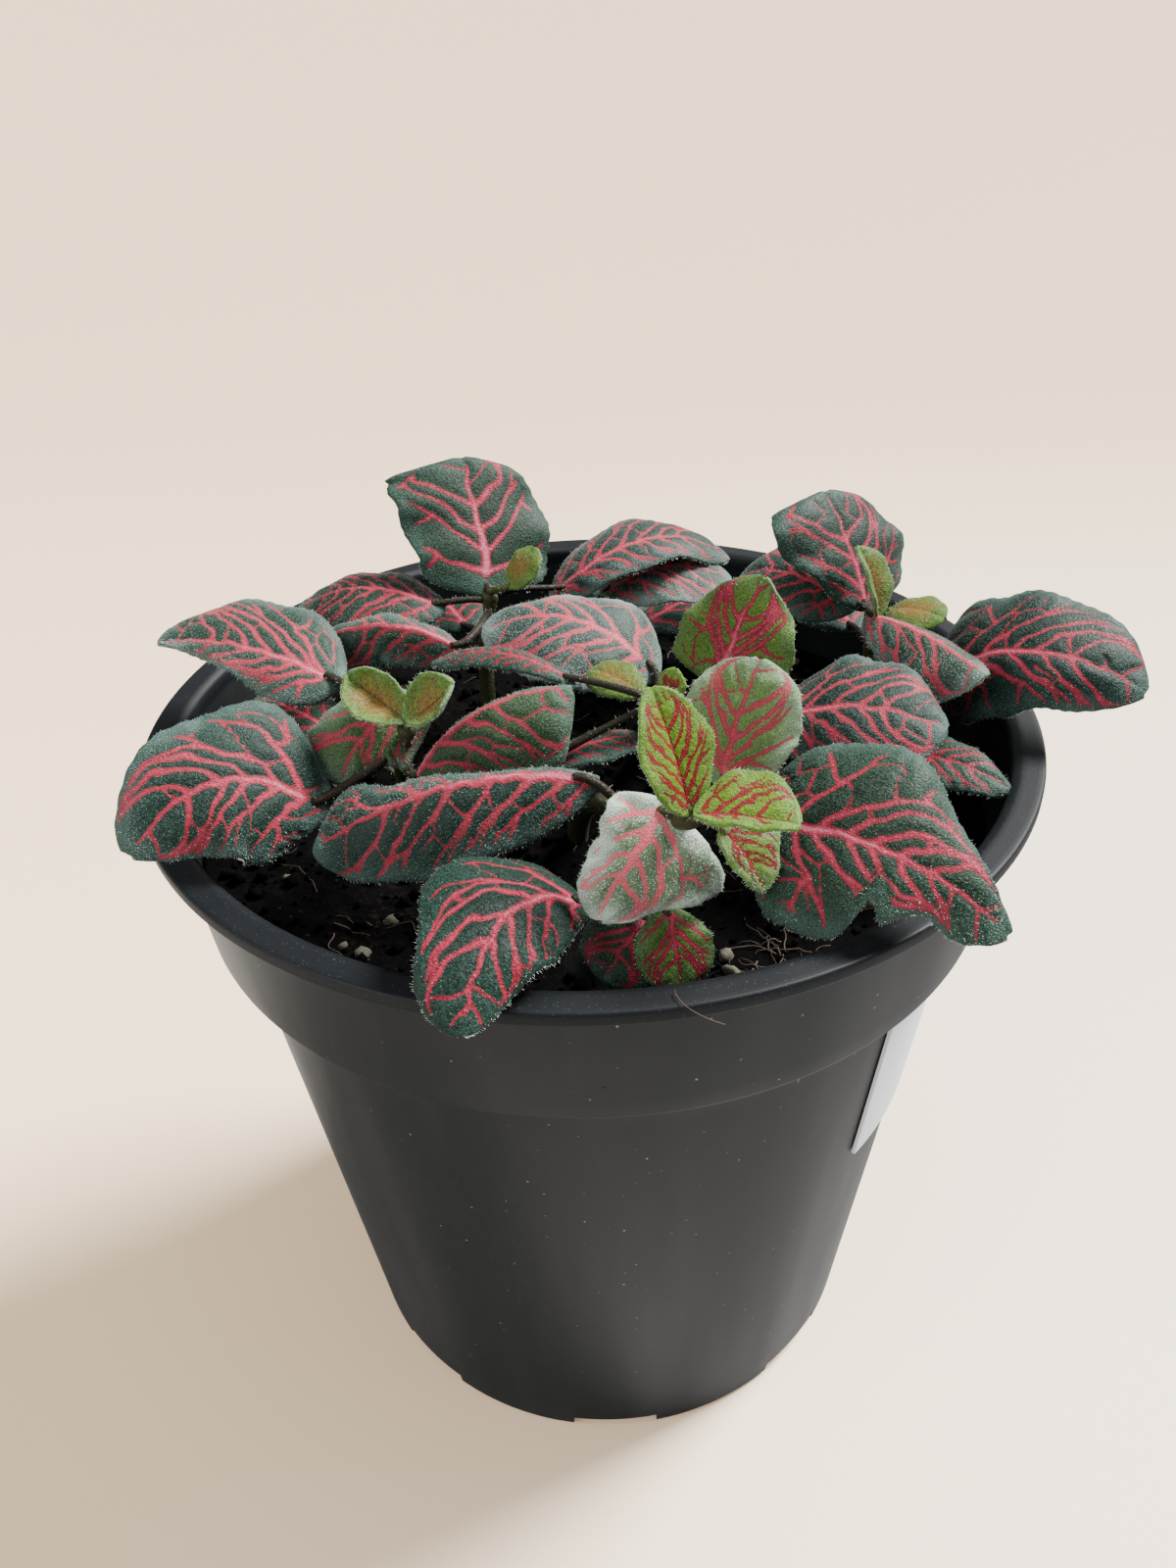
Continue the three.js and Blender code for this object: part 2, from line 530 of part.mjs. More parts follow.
// A leaf stalk, from inside its stem to a little way under the blade
function petiole(leaf, path) {
  const from = nearestOnStem(path, leaf.base);
  const to = midrib(leaf, 0.08);
  const bend = from.point.distanceTo(to) / 3;
  const leaving = from.point.clone().addScaledVector(from.direction, bend);
  const arriving = to.clone().addScaledVector(leaf.along, -bend);
  const curve = new THREE.CubicBezierCurve3(from.point, leaving, arriving, to);
  const radius = Math.max(PETIOLE_LEAST_RADIUS, PETIOLE_SHARE * leaf.wide);
  return tube(curve, [radius, 0.8 * radius], PETIOLE_SIDES, PETIOLE_STEPS);
}

// A whole shoot as one solid, without the scraps and tiny hollows that joining leaves
function shootBody(shoot) {
  const path = stemPath(shoot);
  let body = tube(path, shoot.radii, STEM_SIDES, STEM_STEPS);
  shoot.leaves.map(readLeaf).forEach((leaf) => {
    body = body.add(petiole(leaf, path)).add(blade(leaf));
  });
  const welded = solid(geometryOf(body), WELD_DISTANCE);
  return welded.decompose().find((piece) => piece.volume() > SCRAP_VOLUME);
}

// A curved plate of paper just off the pot's tapered side
function labelBody() {
  const steps = 8;
  const points = [];
  const radiusAt = (z) => THREE.MathUtils.mapLinear(z, FOOT_BEVEL, POT_HEIGHT - COLLAR_HEIGHT, BASE_RADIUS, BODY_TOP_RADIUS);
  const half = LABEL_WIDTH / radiusAt(LABEL_HIGH) / 2;
  for (const off of [SEAT_GAP, SEAT_GAP + LABEL_THICKNESS]) {
    for (const z of [LABEL_LOW, LABEL_HIGH]) {
      for (let i = 0; i <= steps; i += 1) {
        const angle = rad(LABEL_ANGLE) + half * (-1 + (2 * i) / steps);
        const r = radiusAt(z) + off;
        points.push([r * Math.cos(angle), r * Math.sin(angle), z]);
      }
    }
  }
  const row = steps + 1;
  const corner = (outer, top, i) => (2 * outer + top) * row + i;
  const triangles = [];
  const quad = (a, b, c, d) => triangles.push([a, b, c], [a, c, d]);
  for (let i = 0; i < steps; i += 1) {
    quad(corner(1, 0, i), corner(1, 0, i + 1), corner(1, 1, i + 1), corner(1, 1, i));
    quad(corner(0, 0, i + 1), corner(0, 0, i), corner(0, 1, i), corner(0, 1, i + 1));
    quad(corner(0, 0, i), corner(0, 0, i + 1), corner(1, 0, i + 1), corner(1, 0, i));
    quad(corner(1, 1, i), corner(1, 1, i + 1), corner(0, 1, i + 1), corner(0, 1, i));
  }
  quad(corner(0, 0, 0), corner(1, 0, 0), corner(1, 1, 0), corner(0, 1, 0));
  quad(corner(1, 0, steps), corner(0, 0, steps), corner(0, 1, steps), corner(1, 1, steps));
  return solid(surface(points, triangles));
}

const plasticFinish = material("black plastic", 0x1b1c1f, 0.45);
const soilFinish = material("peat soil", 0x1c1410, 0.95);
const leafFinish = material("leaf", 0x2f5a3c, 0.6);
const paperFinish = material("paper", 0xe8e6e0, 0.8);

const plant = new THREE.Group();

function addPiece(name, body, finish) {
  const mesh = new THREE.Mesh(geometryOf(body), finish);
  mesh.name = name;
  plant.add(mesh);
}

addPiece("pot", potBody(), plasticFinish);
addPiece("soil", soilBody(), soilFinish);
addPiece("label", labelBody(), paperFinish);
for (const [name, shoot] of Object.entries(SHOOTS)) {
  addPiece(`shoot_${name}`, shootBody(shoot), leafFinish);
}

export default plant;
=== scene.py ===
"""Looks of a potted nerve plant: red-veined leaves, dark peat and a black plastic pot.

Sizes are in millimetres and are turned to metres where a mesh is made. Materials count in metres.
"""
from types import SimpleNamespace

import bpy
import numpy as np
from mathutils import Matrix


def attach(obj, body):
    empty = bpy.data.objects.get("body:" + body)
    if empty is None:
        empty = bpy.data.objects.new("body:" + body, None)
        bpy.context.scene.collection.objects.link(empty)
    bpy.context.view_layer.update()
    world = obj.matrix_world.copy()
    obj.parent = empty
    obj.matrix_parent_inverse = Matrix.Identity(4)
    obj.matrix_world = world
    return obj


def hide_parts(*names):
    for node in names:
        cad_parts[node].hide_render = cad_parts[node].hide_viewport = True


MM = 0.001

# Camera, as fitted to the photo's pot: place, view direction and upright, and focal length
CAMERA_PLACE = (0.0, -144.67, 190.08)
CAMERA_FORWARD = (-0.0028, 0.8337, -0.5522)
CAMERA_UP = (0.0377, 0.5519, 0.8331)
FOCAL_PIXELS = 1230
LONG_SIDE_PIXELS = 1600
SENSOR_MM = 36

# Daylight from behind on the right
SUN_PLACE = (430, 240, 520)
SUN_POWER = 13.0
SUN_DEGREES = 20

# Pot
POT_HEIGHT = 107.3
RIM_RADIUS = 60
RIM_INNER_RADIUS = 57.2
LIP_HEIGHT = 1.8
COLLAR_TOP_RADIUS = 57
COLLAR_BOTTOM_RADIUS = 55.3
COLLAR_HEIGHT = 20
BODY_TOP_RADIUS = 51.7
BASE_RADIUS = 42
WALL = 1.2
FLOOR = 1.6
FOOT_BEVEL = 1.2
POT_SIDES = 240
NOTCH_COUNT = 8
NOTCH_LENGTH = 13
NOTCH_HEIGHT = 2.6
NOTCH_DEPTH = 5
HOLE_RADIUS = 3.2
HOLE_RING_RADIUS = 24
HOLE_COUNT = 4

# Roundings of the pot: under the collar's step, the collar's foot, its neck, and the lip's two edges
STEP_ROUND = 0.8
COLLAR_ROUND = 0.5
NECK_ROUND = 0.4
LIP_LOW_ROUND = 0.35
LIP_ROUND = 0.45

# Soil, and what lies on it
SOIL_LEVEL = 94
SOIL_MOUND = 1.2
SEAT_GAP = 0.3
PLANTING_DEPTH = 5
SOIL_RINGS = 110
SOIL_SIDES = 300
CRUMB_COUNT = 1500
CRUMB_REACH = 53
ROOT_COUNT = 60
ROOT_REACH = 50
ROOT_LIMIT = 52
ROOT_POINTS = 14
CROWD_COUNT = 34
CROWD_PLACE = (26, -38)
CROWD_SPREAD = (6, 4)
# Perlite grains as x, y and size
PERLITE_GRAINS = [
    (-25.3, -29.4, 0.9), (-28, -35.6, 1.1), (-30.7, -33.7, 0.7), (15, -38, 1.0), (15.4, -40.5, 1.2),
    (-40, -20, 0.8), (30, -30, 0.7), (44, -12, 0.9), (-30, 30, 1.0), (10, 44, 1.1), (-8, 47, 0.8),
    (35, 34, 0.9), (48, 8, 0.8), (-50, 5, 0.9),
]

# Blank paper label
LABEL_ANGLE = -26
LABEL_WIDTH = 34
LABEL_LOW = 54
LABEL_HIGH = 83
LABEL_THICKNESS = 0.5

# Leaves and stems
LEAF_CELL = 0.26
BLADE_THICKNESS = 0.62
WAVE_SHARE = 0.05
WAVES_PER_LEAF = 2.5
SCALLOP = 0.09
YOUNG_SCALLOP = 0.04
SCALLOP_GAP = 1.7
PETIOLE_SHARE = 0.07
PETIOLE_LEAST_RADIUS = 0.5
SIDE_VEIN_GAP = 5.6
CELL_GAP = 2.9
YOUNG_CELL_SHARE = 0.72
VEIN_REACH = 0.88
FORK_REACH = (0.34, 0.60)
BRANCH_DROP = (0.38, 0.52)
FINE_VEIN_REACH = 0.74
FINE_VEINS_MISSING = 0.16
LEAF_STALK_STEPS = 18
STEM_STEPS = 60
STEM_HAIRLESS_STEPS = 18
VEIN_SOFTNESS = 0.09
VEIN_FREE_MARGIN = 0.6
MIDRIB_HALF_WIDTHS = (0.58, 0.14)
VEIN_WOBBLE = 0.34
SIDE_VEIN_HALF_WIDTHS = (0.36, 0.11)
FINE_VEIN_HALF_WIDTH = 0.14
YOUNG_VEIN_SHARE = 0.84
QUILT_RAMP = 0.8
VEIN_GROOVE = 0.06
VEIN_GROOVE_SPAN = 0.3
# Places along a blade, from its base to its tip, at which a half's widths are given
STATIONS = np.array([0, 0.1, 0.3, 0.5, 0.7, 0.9, 1.0])

# Hairs: how many, and each kind's least and greatest length and its radius
MARGIN_HAIRS_PER_MM = 4.5
FACE_HAIRS_PER_MM2 = 2.0
STALK_HAIRS_PER_MM = 3
STEM_HAIRS = 160
MARGIN_HAIR = (0.2, 0.5, 0.02)
FACE_HAIR = (0.12, 0.38, 0.016)
STALK_HAIR = (0.25, 0.6, 0.025)

# Knots of a stem, where leaves part from it, as place along the stem and rise of its radius
KNOTS = [(0.72, 0.25), (0.98, 0.3)]
KNOT_SPAN = 0.03

# Each shoot has a stem, as points from the soil to the bud with its two end radii, and its leaves.
# A leaf's row holds: its name, the base and tip of its midrib, [roll, arch, sway], [fold and curl of
# the left half, fold and curl of the right half], the left half's widths at the inner STATIONS, the
# right half's, and notches as [side, place, depth, span]. Where the right half is like the left, its
# numbers are left out. Roll is in degrees, and lowers the right side. Arch lifts the midrib's middle,
# and sway moves it to the right. A fold lifts its half, and a curl bends it on. A notch with a depth
# below zero is a bulge, which makes a corner blunter.
SHOOTS = {
    "front": {
        "stem": [[-2, -14, 0], [0, -22, 106], [6, -38, 114], [10, -46, 120.3]],
        "radii": [1.5, 1.0],
        "leaves": [
            ["young upright", [9.5, -46.5, 121], [6, -42, 133], [0, 0.5, 0], [22, -20],
             [2.4, 4.1, 4.7, 4.1, 2.4], [2.3, 4, 4.7, 4.1, 2.4]],
            ["young side", [10, -47.5, 121.5], [20, -50, 121.5], [10, 0.5, 0], [25, -20, 20, -30],
             [3, 5, 5.6, 5.2, 3.5], [1, 1.6, 1.8, 1.7, 1.2]],
            ["pale back", [14, -37, 118], [18.5, -31.5, 130], [5, 1, 0], [10, -30],
             [3.9, 6, 6.8, 6.4, 4.6]],
            ["pale front", [7.5, -43, 120], [0, -49, 110], [-50, 1, 0.3], [0, -30], [8.5, 11.2, 10, 7, 4],
             [4.5, 5, 4.3, 4, 3], [[1, 0.45, 0.15, 0.04]]],
            ["young low", [13, -45, 118], [17.5, -47, 111.5], [35, 1, 0], [10, -30], [3, 4.6, 4.8, 4, 2.5],
             [1.2, 1.8, 1.8, 1.6, 1]],
            ["big right", [17, -38, 113.5], [41.8, -52, 108.5], [35, 5, -1.5], [8, -40, 5, -30],
             [9.5, 12.5, 12, 7, 2.5], [9, 11, 9.8, 4.5, 4], [[1, 0.54, 0.45, 0.04]]],
            ["big left", [1, -32, 116], [-32.1, -33.2, 108], [-15, 5, 0], [-30, -30, 0, -20],
             [5, 8, 9.2, 8.8, 6], [1.2, 1.5, 2.2, 4.4, 7.2]],
        ],
    },
    "low": {
        "stem": [[4, -34, 0], [4, -40, 103], [4, -43.5, 108]],
        "radii": [1.1, 0.8],
        "leaves": [
            ["small right", [7.5, -45.5, 108], [8.5, -51, 102], [0, 1, 0], [12, -40],
             [2.5, 3.9, 4.4, 4.2, 3]],
            ["small left", [5.5, -44, 106], [0.5, -49.5, 102], [-20, 1, 0], [12, -40],
             [2.8, 4.4, 5, 4.7, 3.4]],
            ["over the rim", [-1, -44.5, 108], [-13, -64, 109], [-20, 4.5, 4], [0, -30],
             [3.5, 6, 6.5, 5.5, 3.5], [7.5, 9.3, 9.8, 7, 5]],
        ],
    },
    "centre": {
        "stem": [[8, 5, 0], [8, -8, 107], [8, -20, 118.5]],
        "radii": [1.4, 0.9],
        "leaves": [
            ["young bud", [10, -19.5, 119], [10.5, -19, 122.5], [0, 0.5, 0], [12, -40],
             [1.1, 1.8, 2, 1.9, 1.3]],
            ["young left", [6.5, -18.5, 119], [0.5, -12, 119], [-20, 1, 0], [12, -40],
             [1.6, 2.6, 3, 2.8, 2]],
            ["narrow left", [-1.5, -17.8, 120.5], [-19, -12.5, 121], [-10, 3, 0], [0, -40],
             [1.2, 1.9, 2.1, 2, 1.4]],
            ["narrow front", [-4.5, -23.5, 113], [6, -20, 114], [0, 1, 0], [0, -20], [2, 3, 3.5, 3.3, 2.4]],
            ["wide back", [9.5, -1, 112], [-14, 4.5, 117], [-20, 5.5, 1], [5, -40], [6, 9, 10, 9, 6],
             [8, 8.5, 6.5, 4.5, 4.5]],
            ["tall right", [16.4, -11.6, 116], [22.4, -5.9, 128], [5, 0.5, 0], [5, -20],
             [7.7, 8.8, 8.5, 7, 3.8], [6.5, 8, 8, 6.6, 3]],
        ],
    },
    "left": {
        "stem": [[-24, -8, 0], [-24, -15, 107], [-21.3, -22.7, 118.3]],
        "radii": [1.4, 0.9],
        "leaves": [
            ["young left", [-21, -22.5, 119], [-28.5, -18, 123], [-35, -1, 0], [20, 30],
             [2.4, 3.9, 4.5, 4.2, 3], [2, 3, 3.4, 3.2, 2.2]],
            ["young right", [-21.5, -23, 119], [-15.5, -22.5, 124], [25, -1, 0], [20, 20],
             [2.1, 3.5, 4, 3.7, 2.6]],
            ["round front", [-19.2, -18.5, 117], [-30, -23, 111], [-55, 1.5, 3], [0, -30],
             [5, 6.7, 6.2, 4.7, 2.8], [3, 4, 5, 5.5, 5.5]],
            ["big left", [-31.5, -26.5, 109], [-51.3, -37.5, 112], [-45, 4, 5], [5, -40, 5, -30],
             [8, 9.5, 9, 8, 5], [6, 10.5, 9, 8, 4.5]],
            ["long left", [-32.5, -3.5, 114], [-58.5, 4.5, 117], [-25, 3.5, 0], [5, -40],
             [5, 5.5, 4, 2.3, 1.2], [7.5, 10.5, 10.5, 9.5, 7]],
            ["low left", [-35.5, -3.5, 107], [-47, 6, 107], [-10, 1, 0], [12, -40], [3.4, 5.3, 6, 5.7, 4]],
            ["long right", [-22, -22, 109], [-1.8, -20, 121.2], [20, 4, -1], [-40, -20, -10, -60],
             [3, 5, 5, 3.6, 1.8], [3.5, 6.5, 9, 10, 9.4], [[1, 0.95, -0.15, 0.04]]],
        ],
    },
    "back_left": {
        "stem": [[-15, 14, 0], [-15, 15, 106], [-13.5, 15.5, 117.5]],
        "radii": [1.4, 0.9],
        "leaves": [
            ["draped front", [-17, 4, 114], [-37.4, 6, 115], [-10, 4, 0], [-50, -40, 10, -40],
             [3.5, 5.5, 6.5, 9, 5], [2, 3, 3, 3, 2], [[-1, 0.55, 0.25, 0.06]]],
            ["tall left back", [-14, 16, 117], [-17.2, 29, 133], [12, 0.5, 0.5], [5, -20],
             [8, 9.8, 11, 11.5, 11], [8.5, 10.5, 11.2, 10, 7], [[-1, 0.95, -0.36, 0.035]]],
            ["young bud", [-10.5, 14, 119], [-6.5, 15.5, 124], [10, 0.5, 0], [12, -40],
             [1.8, 3, 3.5, 3.3, 2.3]],
            ["left", [-20, 14, 116], [-42, 18.5, 115], [-15, 3.5, 0], [0, -40], [4.3, 6.7, 7.5, 7.1, 5.1]],
            ["right", [-5, 20, 114], [22.5, 31, 115], [15, 7, 0], [5, -40], [5, 7.5, 8, 8, 5.5],
             [3.5, 4.5, 4.5, 4, 3]],
            ["hidden back", [-18, 21, 109], [-26, 38, 104], [0, 3, 0], [5, -40], [4.5, 7, 8, 7.5, 5]],
        ],
    },
    "back": {
        "stem": [[5, 30, 0], [4, 28, 104], [3, 25, 112]],
        "radii": [1.2, 0.8],
        "leaves": [
            ["front right", [2.5, 24.5, 112.5], [22.5, 26, 113.5], [20, 4, 0], [5, -30],
             [3.7, 5.8, 6.5, 6.2, 4.4]],
            ["hidden back", [6, 31, 106], [10, 50, 103], [0, 3, 0], [5, -40], [4.5, 7, 8, 7.5, 5]],
            ["hidden right", [9, 28, 105], [27, 38, 104], [5, 3, 0], [5, -40], [4, 6, 7, 6.5, 4.5]],
        ],
    },
    "right": {
        "stem": [[24, -8, 0], [24, -12, 104], [25, -15, 111]],
        "radii": [1.2, 0.8],
        "leaves": [
            ["wide", [23.5, -14, 112], [42.5, -22.5, 115], [25, 3.5, 0], [5, -40], [7.5, 10.5, 10, 9.5, 6],
             [5, 8.5, 8.5, 8, 5.5]],
            ["narrow", [37.5, -17, 107], [50, -25.5, 108], [15, 2.5, 0], [12, -40], [3, 5, 4.5, 3.5, 2],
             [2, 3.5, 4, 3.5, 2.5]],
        ],
    },
    "back_right": {
        "stem": [[40, 6, 0], [40, 6, 106], [39.5, 5.5, 117]],
        "radii": [1.4, 0.9],
        "leaves": [
            ["tall back", [39, 8.5, 116], [34, 17.5, 130], [5, 1, 0], [8, -30], [3.5, 6.5, 9.5, 11, 9.5],
             [7.5, 11, 11.7, 10.2, 6], [[-1, 0.95, -0.25, 0.035]]],
            ["left", [38, 9.5, 116], [23.5, 21.5, 116], [-30, 4, 0], [5, -40], [4, 6.2, 7, 6.7, 4.8]],
            ["young folded", [38.5, 0, 119], [36, 4.5, 127], [20, 0.5, 0], [50, -40],
             [1.8, 3, 3.5, 3.3, 2.2]],
            ["young right", [41, 3.5, 118], [46.5, -3.5, 120], [20, 1, 0], [12, -40],
             [1.8, 3, 3.5, 3.3, 2.3]],
            ["front", [37.7, 1.5, 118.5], [49, -15, 117.8], [30, 2.5, 0], [-50, -30, 0, -30],
             [4.5, 7, 8, 8.3, 6.8], [3, 5.2, 7, 7.6, 5.8]],
            ["big right", [47, -1, 110], [69.5, -14.5, 114.3], [30, 6, -1], [5, -30, 5, -60],
             [11, 11.5, 11, 10, 6.5], [8, 8.5, 8, 6.8, 4.5]],
            ["hidden back", [39, 14, 110], [35, 32, 107], [0, 3, 0], [5, -40], [4, 6.5, 7.5, 7, 5]],
        ],
    },
}

# Looks that go by a leaf's name. Of the keys in a table that start the name, the first one holds.

# How far the colour has moved from dark and old (0) to fresh and young (1)
AGES = {"young": 1.0, "pale back": 0.75, "pale front": 0.4, "tall right": 0.62, "round front": 0.3,
        "long right": 0.16, "small right": 0.45, "small": 0.1}
# How silvery the hairs make the blade, partly the hairs' own silver and partly painted light on some
# leaves: below zero they hardly show, and the blade stays dark as painted shade
FROSTS_AND_PAINTED_LIGHT = {"pale front": 1.0, "pale back": 0.5, "front": 0.35, "young low": 0.3, "round front": 0.3,
          "long left": 0.22, "wide back": 0.45, "wide": 0.15, "left": 0.12, "draped front": 0.2,
          "long right": 0.2, "right": 0.2, "big left": 0.12, "over the rim": -0.2, "big right": 0.04}
# How far the blade swells between the veins, in millimetres
QUILTS = {"pale": 0.4, "young": 0.12, "tall": 0.12}
DEFAULT_QUILT = 0.15
# Factors on the gaps between veins, and on the veins' own widths
SPARSE = {"tall left": 1.7, "small": 1.2, "round front": 1.25, "pale front": 0.9}
BOLD = {"tall left": 1.25, "pale front": 0.8, "pale back": 1.05, "tall right": 1.2}
# How steeply the side veins sweep towards the tip
SWEEPS = {"long left": 1.55, "tall left": 0.72, "tall back": 1.15, "tall": 1.35, "pale back": 1.4,
          "pale front": 0.95, "young": 1.2}
DEFAULT_SWEEP = 1.05
# Bud leaves, by shoot, whose veins drown in an orange blush
FADED = {("left", "young left"), ("left", "young right"), ("back_right", "young folded"),
         ("back_right", "young right"), ("back_left", "young bud"), ("centre", "young left")}
FADE = 0.75


# Meshes

def unit(vectors):
    """Vectors at length one, along the last axis."""
    return vectors / np.linalg.norm(vectors, axis=-1, keepdims=True)


def round_points(radius, angle, z):
    """Points at a radius, an angle about the pot's axis and a height."""
    x, y = radius * np.cos(angle), radius * np.sin(angle)
    return np.stack([x, y, z + 0 * x], -1)


def full_turn(sides):
    """Angles of a closed ring."""
    return np.linspace(0, 2 * np.pi, sides, endpoint=False)


def grid_quads(rows, columns, around=False):
    """Quads of a grid of rows by columns of points, as point numbers; around joins the last column
    to the first."""
    across = columns if around else columns - 1
    k, i = np.meshgrid(np.arange(rows - 1), np.arange(across), indexing="ij")
    after = (i + 1) % columns
    corners = [k * columns + i, k * columns + after, (k + 1) * columns + after, (k + 1) * columns + i]
    return np.stack(corners, -1).reshape(-1, 4)


def fan(centre, ring, back=False):
    """Triangles between a centre point and a closed ring, as point numbers; back turns them over."""
    after = np.roll(ring, -1)
    first, second = (after, ring) if back else (ring, after)
    return np.stack([np.full(len(ring), centre), first, second], -1)


def edge_ring(rows, columns):
    """Point numbers round the border of a grid, in order."""
    return np.concatenate([
        np.arange(columns),
        np.arange(1, rows) * columns + columns - 1,
        (rows - 1) * columns + np.arange(columns - 2, -1, -1),
        np.arange(rows - 2, 0, -1) * columns,
    ])


class Shells:
    """Points and faces of several closed shells that make one piece, with values kept per point."""

    def __init__(self, *value_names):
        self.points, self.quads, self.triangles, self.count = [], [], [], 0
        self.values = {name: [] for name in value_names}

    def add(self, points, quads=(), triangles=(), **values):
        """One shell, its faces given by the numbers of its own points."""
        points = np.asarray(points, float).reshape(-1, 3)
        self.points.append(points)
        if len(quads):
            self.quads.append(np.asarray(quads) + self.count)
        if len(triangles):
            self.triangles.append(np.asarray(triangles) + self.count)
        for name, kept in self.values.items():
            kept.append(np.broadcast_to(np.asarray(values.get(name, 0.0), float), len(points)).ravel())
        self.count += len(points)

    def add_rings(self, rings, first_pole, last_pole, back=False, **values):
        """A shell of rings of points, with a pole that closes each end; back turns its faces over."""
        count, sides = rings.shape[:2]
        points = np.concatenate([rings.reshape(-1, 3), [first_pole], [last_pole]])
        quads = grid_quads(count, sides, around=True)
        first, last = np.arange(sides), np.arange(sides) + (count - 1) * sides
        caps = [fan(count * sides, first, not back), fan(count * sides + 1, last, back)]
        self.add(points, quads[:, ::-1] if back else quads, np.concatenate(caps), **values)

    def piece(self, name, material, smooth=True, sharp_angle=None):
        """The shells as one Blender object, at the origin and in metres."""
        points = np.concatenate(self.points) * MM
        quads = np.concatenate(self.quads) if self.quads else np.zeros((0, 4), int)
        triangles = np.concatenate(self.triangles) if self.triangles else np.zeros((0, 3), int)
        corners = np.concatenate([quads.ravel(), triangles.ravel()])
        sizes = np.concatenate([np.full(len(quads), 4), np.full(len(triangles), 3)])
        mesh = bpy.data.meshes.new(name)
        mesh.vertices.add(len(points))
        mesh.vertices.foreach_set("co", points.astype(np.float32).ravel())
        mesh.loops.add(len(corners))
        mesh.loops.foreach_set("vertex_index", corners.astype(np.int32))
        mesh.polygons.add(len(sizes))
        starts = np.concatenate([[0], np.cumsum(sizes)[:-1]])
        mesh.polygons.foreach_set("loop_start", starts.astype(np.int32))
        mesh.polygons.foreach_set("use_smooth", np.full(len(sizes), smooth))
        for value_name, kept in self.values.items():
            attribute = mesh.attributes.new(value_name, "FLOAT", "POINT")
            attribute.data.foreach_set("value", np.concatenate(kept).astype(np.float32))
        mesh.update(calc_edges=True)
        mesh.validate()
        if sharp_angle:
            mesh.set_sharp_from_angle(angle=np.radians(sharp_angle))
        mesh.materials.append(material)
        return add_object(name, mesh)


def add_object(name, data):
    """A new object in the scene for a mesh, a light or a camera."""
    made = bpy.data.objects.new(name, data)
    bpy.context.scene.collection.objects.link(made)
    return made


def lattice_noise(x, y, z, seed):
    """Smooth noise from -1 to 1: seeded random numbers on a lattice, blended by a smooth step."""
    table = np.random.default_rng(seed).uniform(-1, 1, 4096)
    cell = [np.floor(c).astype(int) for c in (x, y, z)]
    share = [c - f for c, f in zip((x, y, z), cell)]
    share = [s * s * (3 - 2 * s) for s in share]
    total = 0
    for corner in range(8):
        step = [(corner >> axis) & 1 for axis in range(3)]
        at = [c + s for c, s in zip(cell, step)]
        value = table[(at[0] * 73 + at[1] * 1193 + at[2] * 2999) % 4096]
        weight = 1
        for s, t in zip(step, share):
            weight = weight * (t if s else 1 - t)
        total = total + value * weight
    return total


def add_tube(shells, path, radii, sides=12, **values):
    """A closed round tube along a path: each ring is a circle square to the path, whose start
    direction is carried along from ring to ring."""
    tangent = unit(np.gradient(path, axis=0))
    normal = np.empty_like(path)
    start = np.cross(tangent[0], [0.3, 1.0, 0.2])
    for k, t in enumerate(tangent):
        start = unit(start - t * (start @ t))
        normal[k] = start
    binormal = np.cross(tangent, normal)
    angle = full_turn(sides)[None, :, None]
    circle = np.cos(angle) * normal[:, None] + np.sin(angle) * binormal[:, None]
    rings = path[:, None] + np.asarray(radii)[:, None, None] * circle
    shells.add_rings(rings, path[0], path[-1], **values)


# Curves

def stem_path(shoot):
    """A smooth path through a stem's points, straight up out of its hole: a centripetal Catmull-Rom
    spline, evened out along its length."""
    x, y, _ = shoot["stem"][0]
    points = [[x, y, SOIL_LEVEL - PLANTING_DEPTH + SEAT_GAP], [x, y, SOIL_LEVEL + 2], *shoot["stem"][1:]]
    points = np.array(points, float)
    points = np.concatenate([[2 * points[0] - points[1]], points, [2 * points[-1] - points[-2]]])
    fine = []
    for k in range(1, len(points) - 2):
        p0, p1, p2, p3 = points[k - 1:k + 3]
        g0, g1, g2 = [np.sqrt(np.linalg.norm(b - a)) for a, b in ((p0, p1), (p1, p2), (p2, p3))]
        t1 = ((p1 - p0) / g0 - (p2 - p0) / (g0 + g1) + (p2 - p1) / g1) * g1
        t2 = ((p2 - p1) / g1 - (p3 - p1) / (g1 + g2) + (p3 - p2) / g2) * g1
        t = np.linspace(0, 1, 40, endpoint=False)[:, None]
        fine.append(p1 + t1 * t + (3 * (p2 - p1) - 2 * t1 - t2) * t**2 + (2 * (p1 - p2) + t1 + t2) * t**3)
    fine = np.concatenate([*fine, points[-2:-1]])
    run = np.concatenate([[0], np.cumsum(np.linalg.norm(np.diff(fine, axis=0), axis=1))])
    at = np.linspace(0, run[-1], STEM_STEPS + 1)
    return np.stack([np.interp(at, run, fine[:, axis]) for axis in range(3)], -1)


def bezier(p0, p1, p2, p3, steps):
    """Points of a cubic Bezier curve."""
    t = np.linspace(0, 1, steps + 1)[:, None]
    return (1 - t)**3 * p0 + 3 * t * (1 - t)**2 * p1 + 3 * t * t * (1 - t) * p2 + t**3 * p3


# Leaves

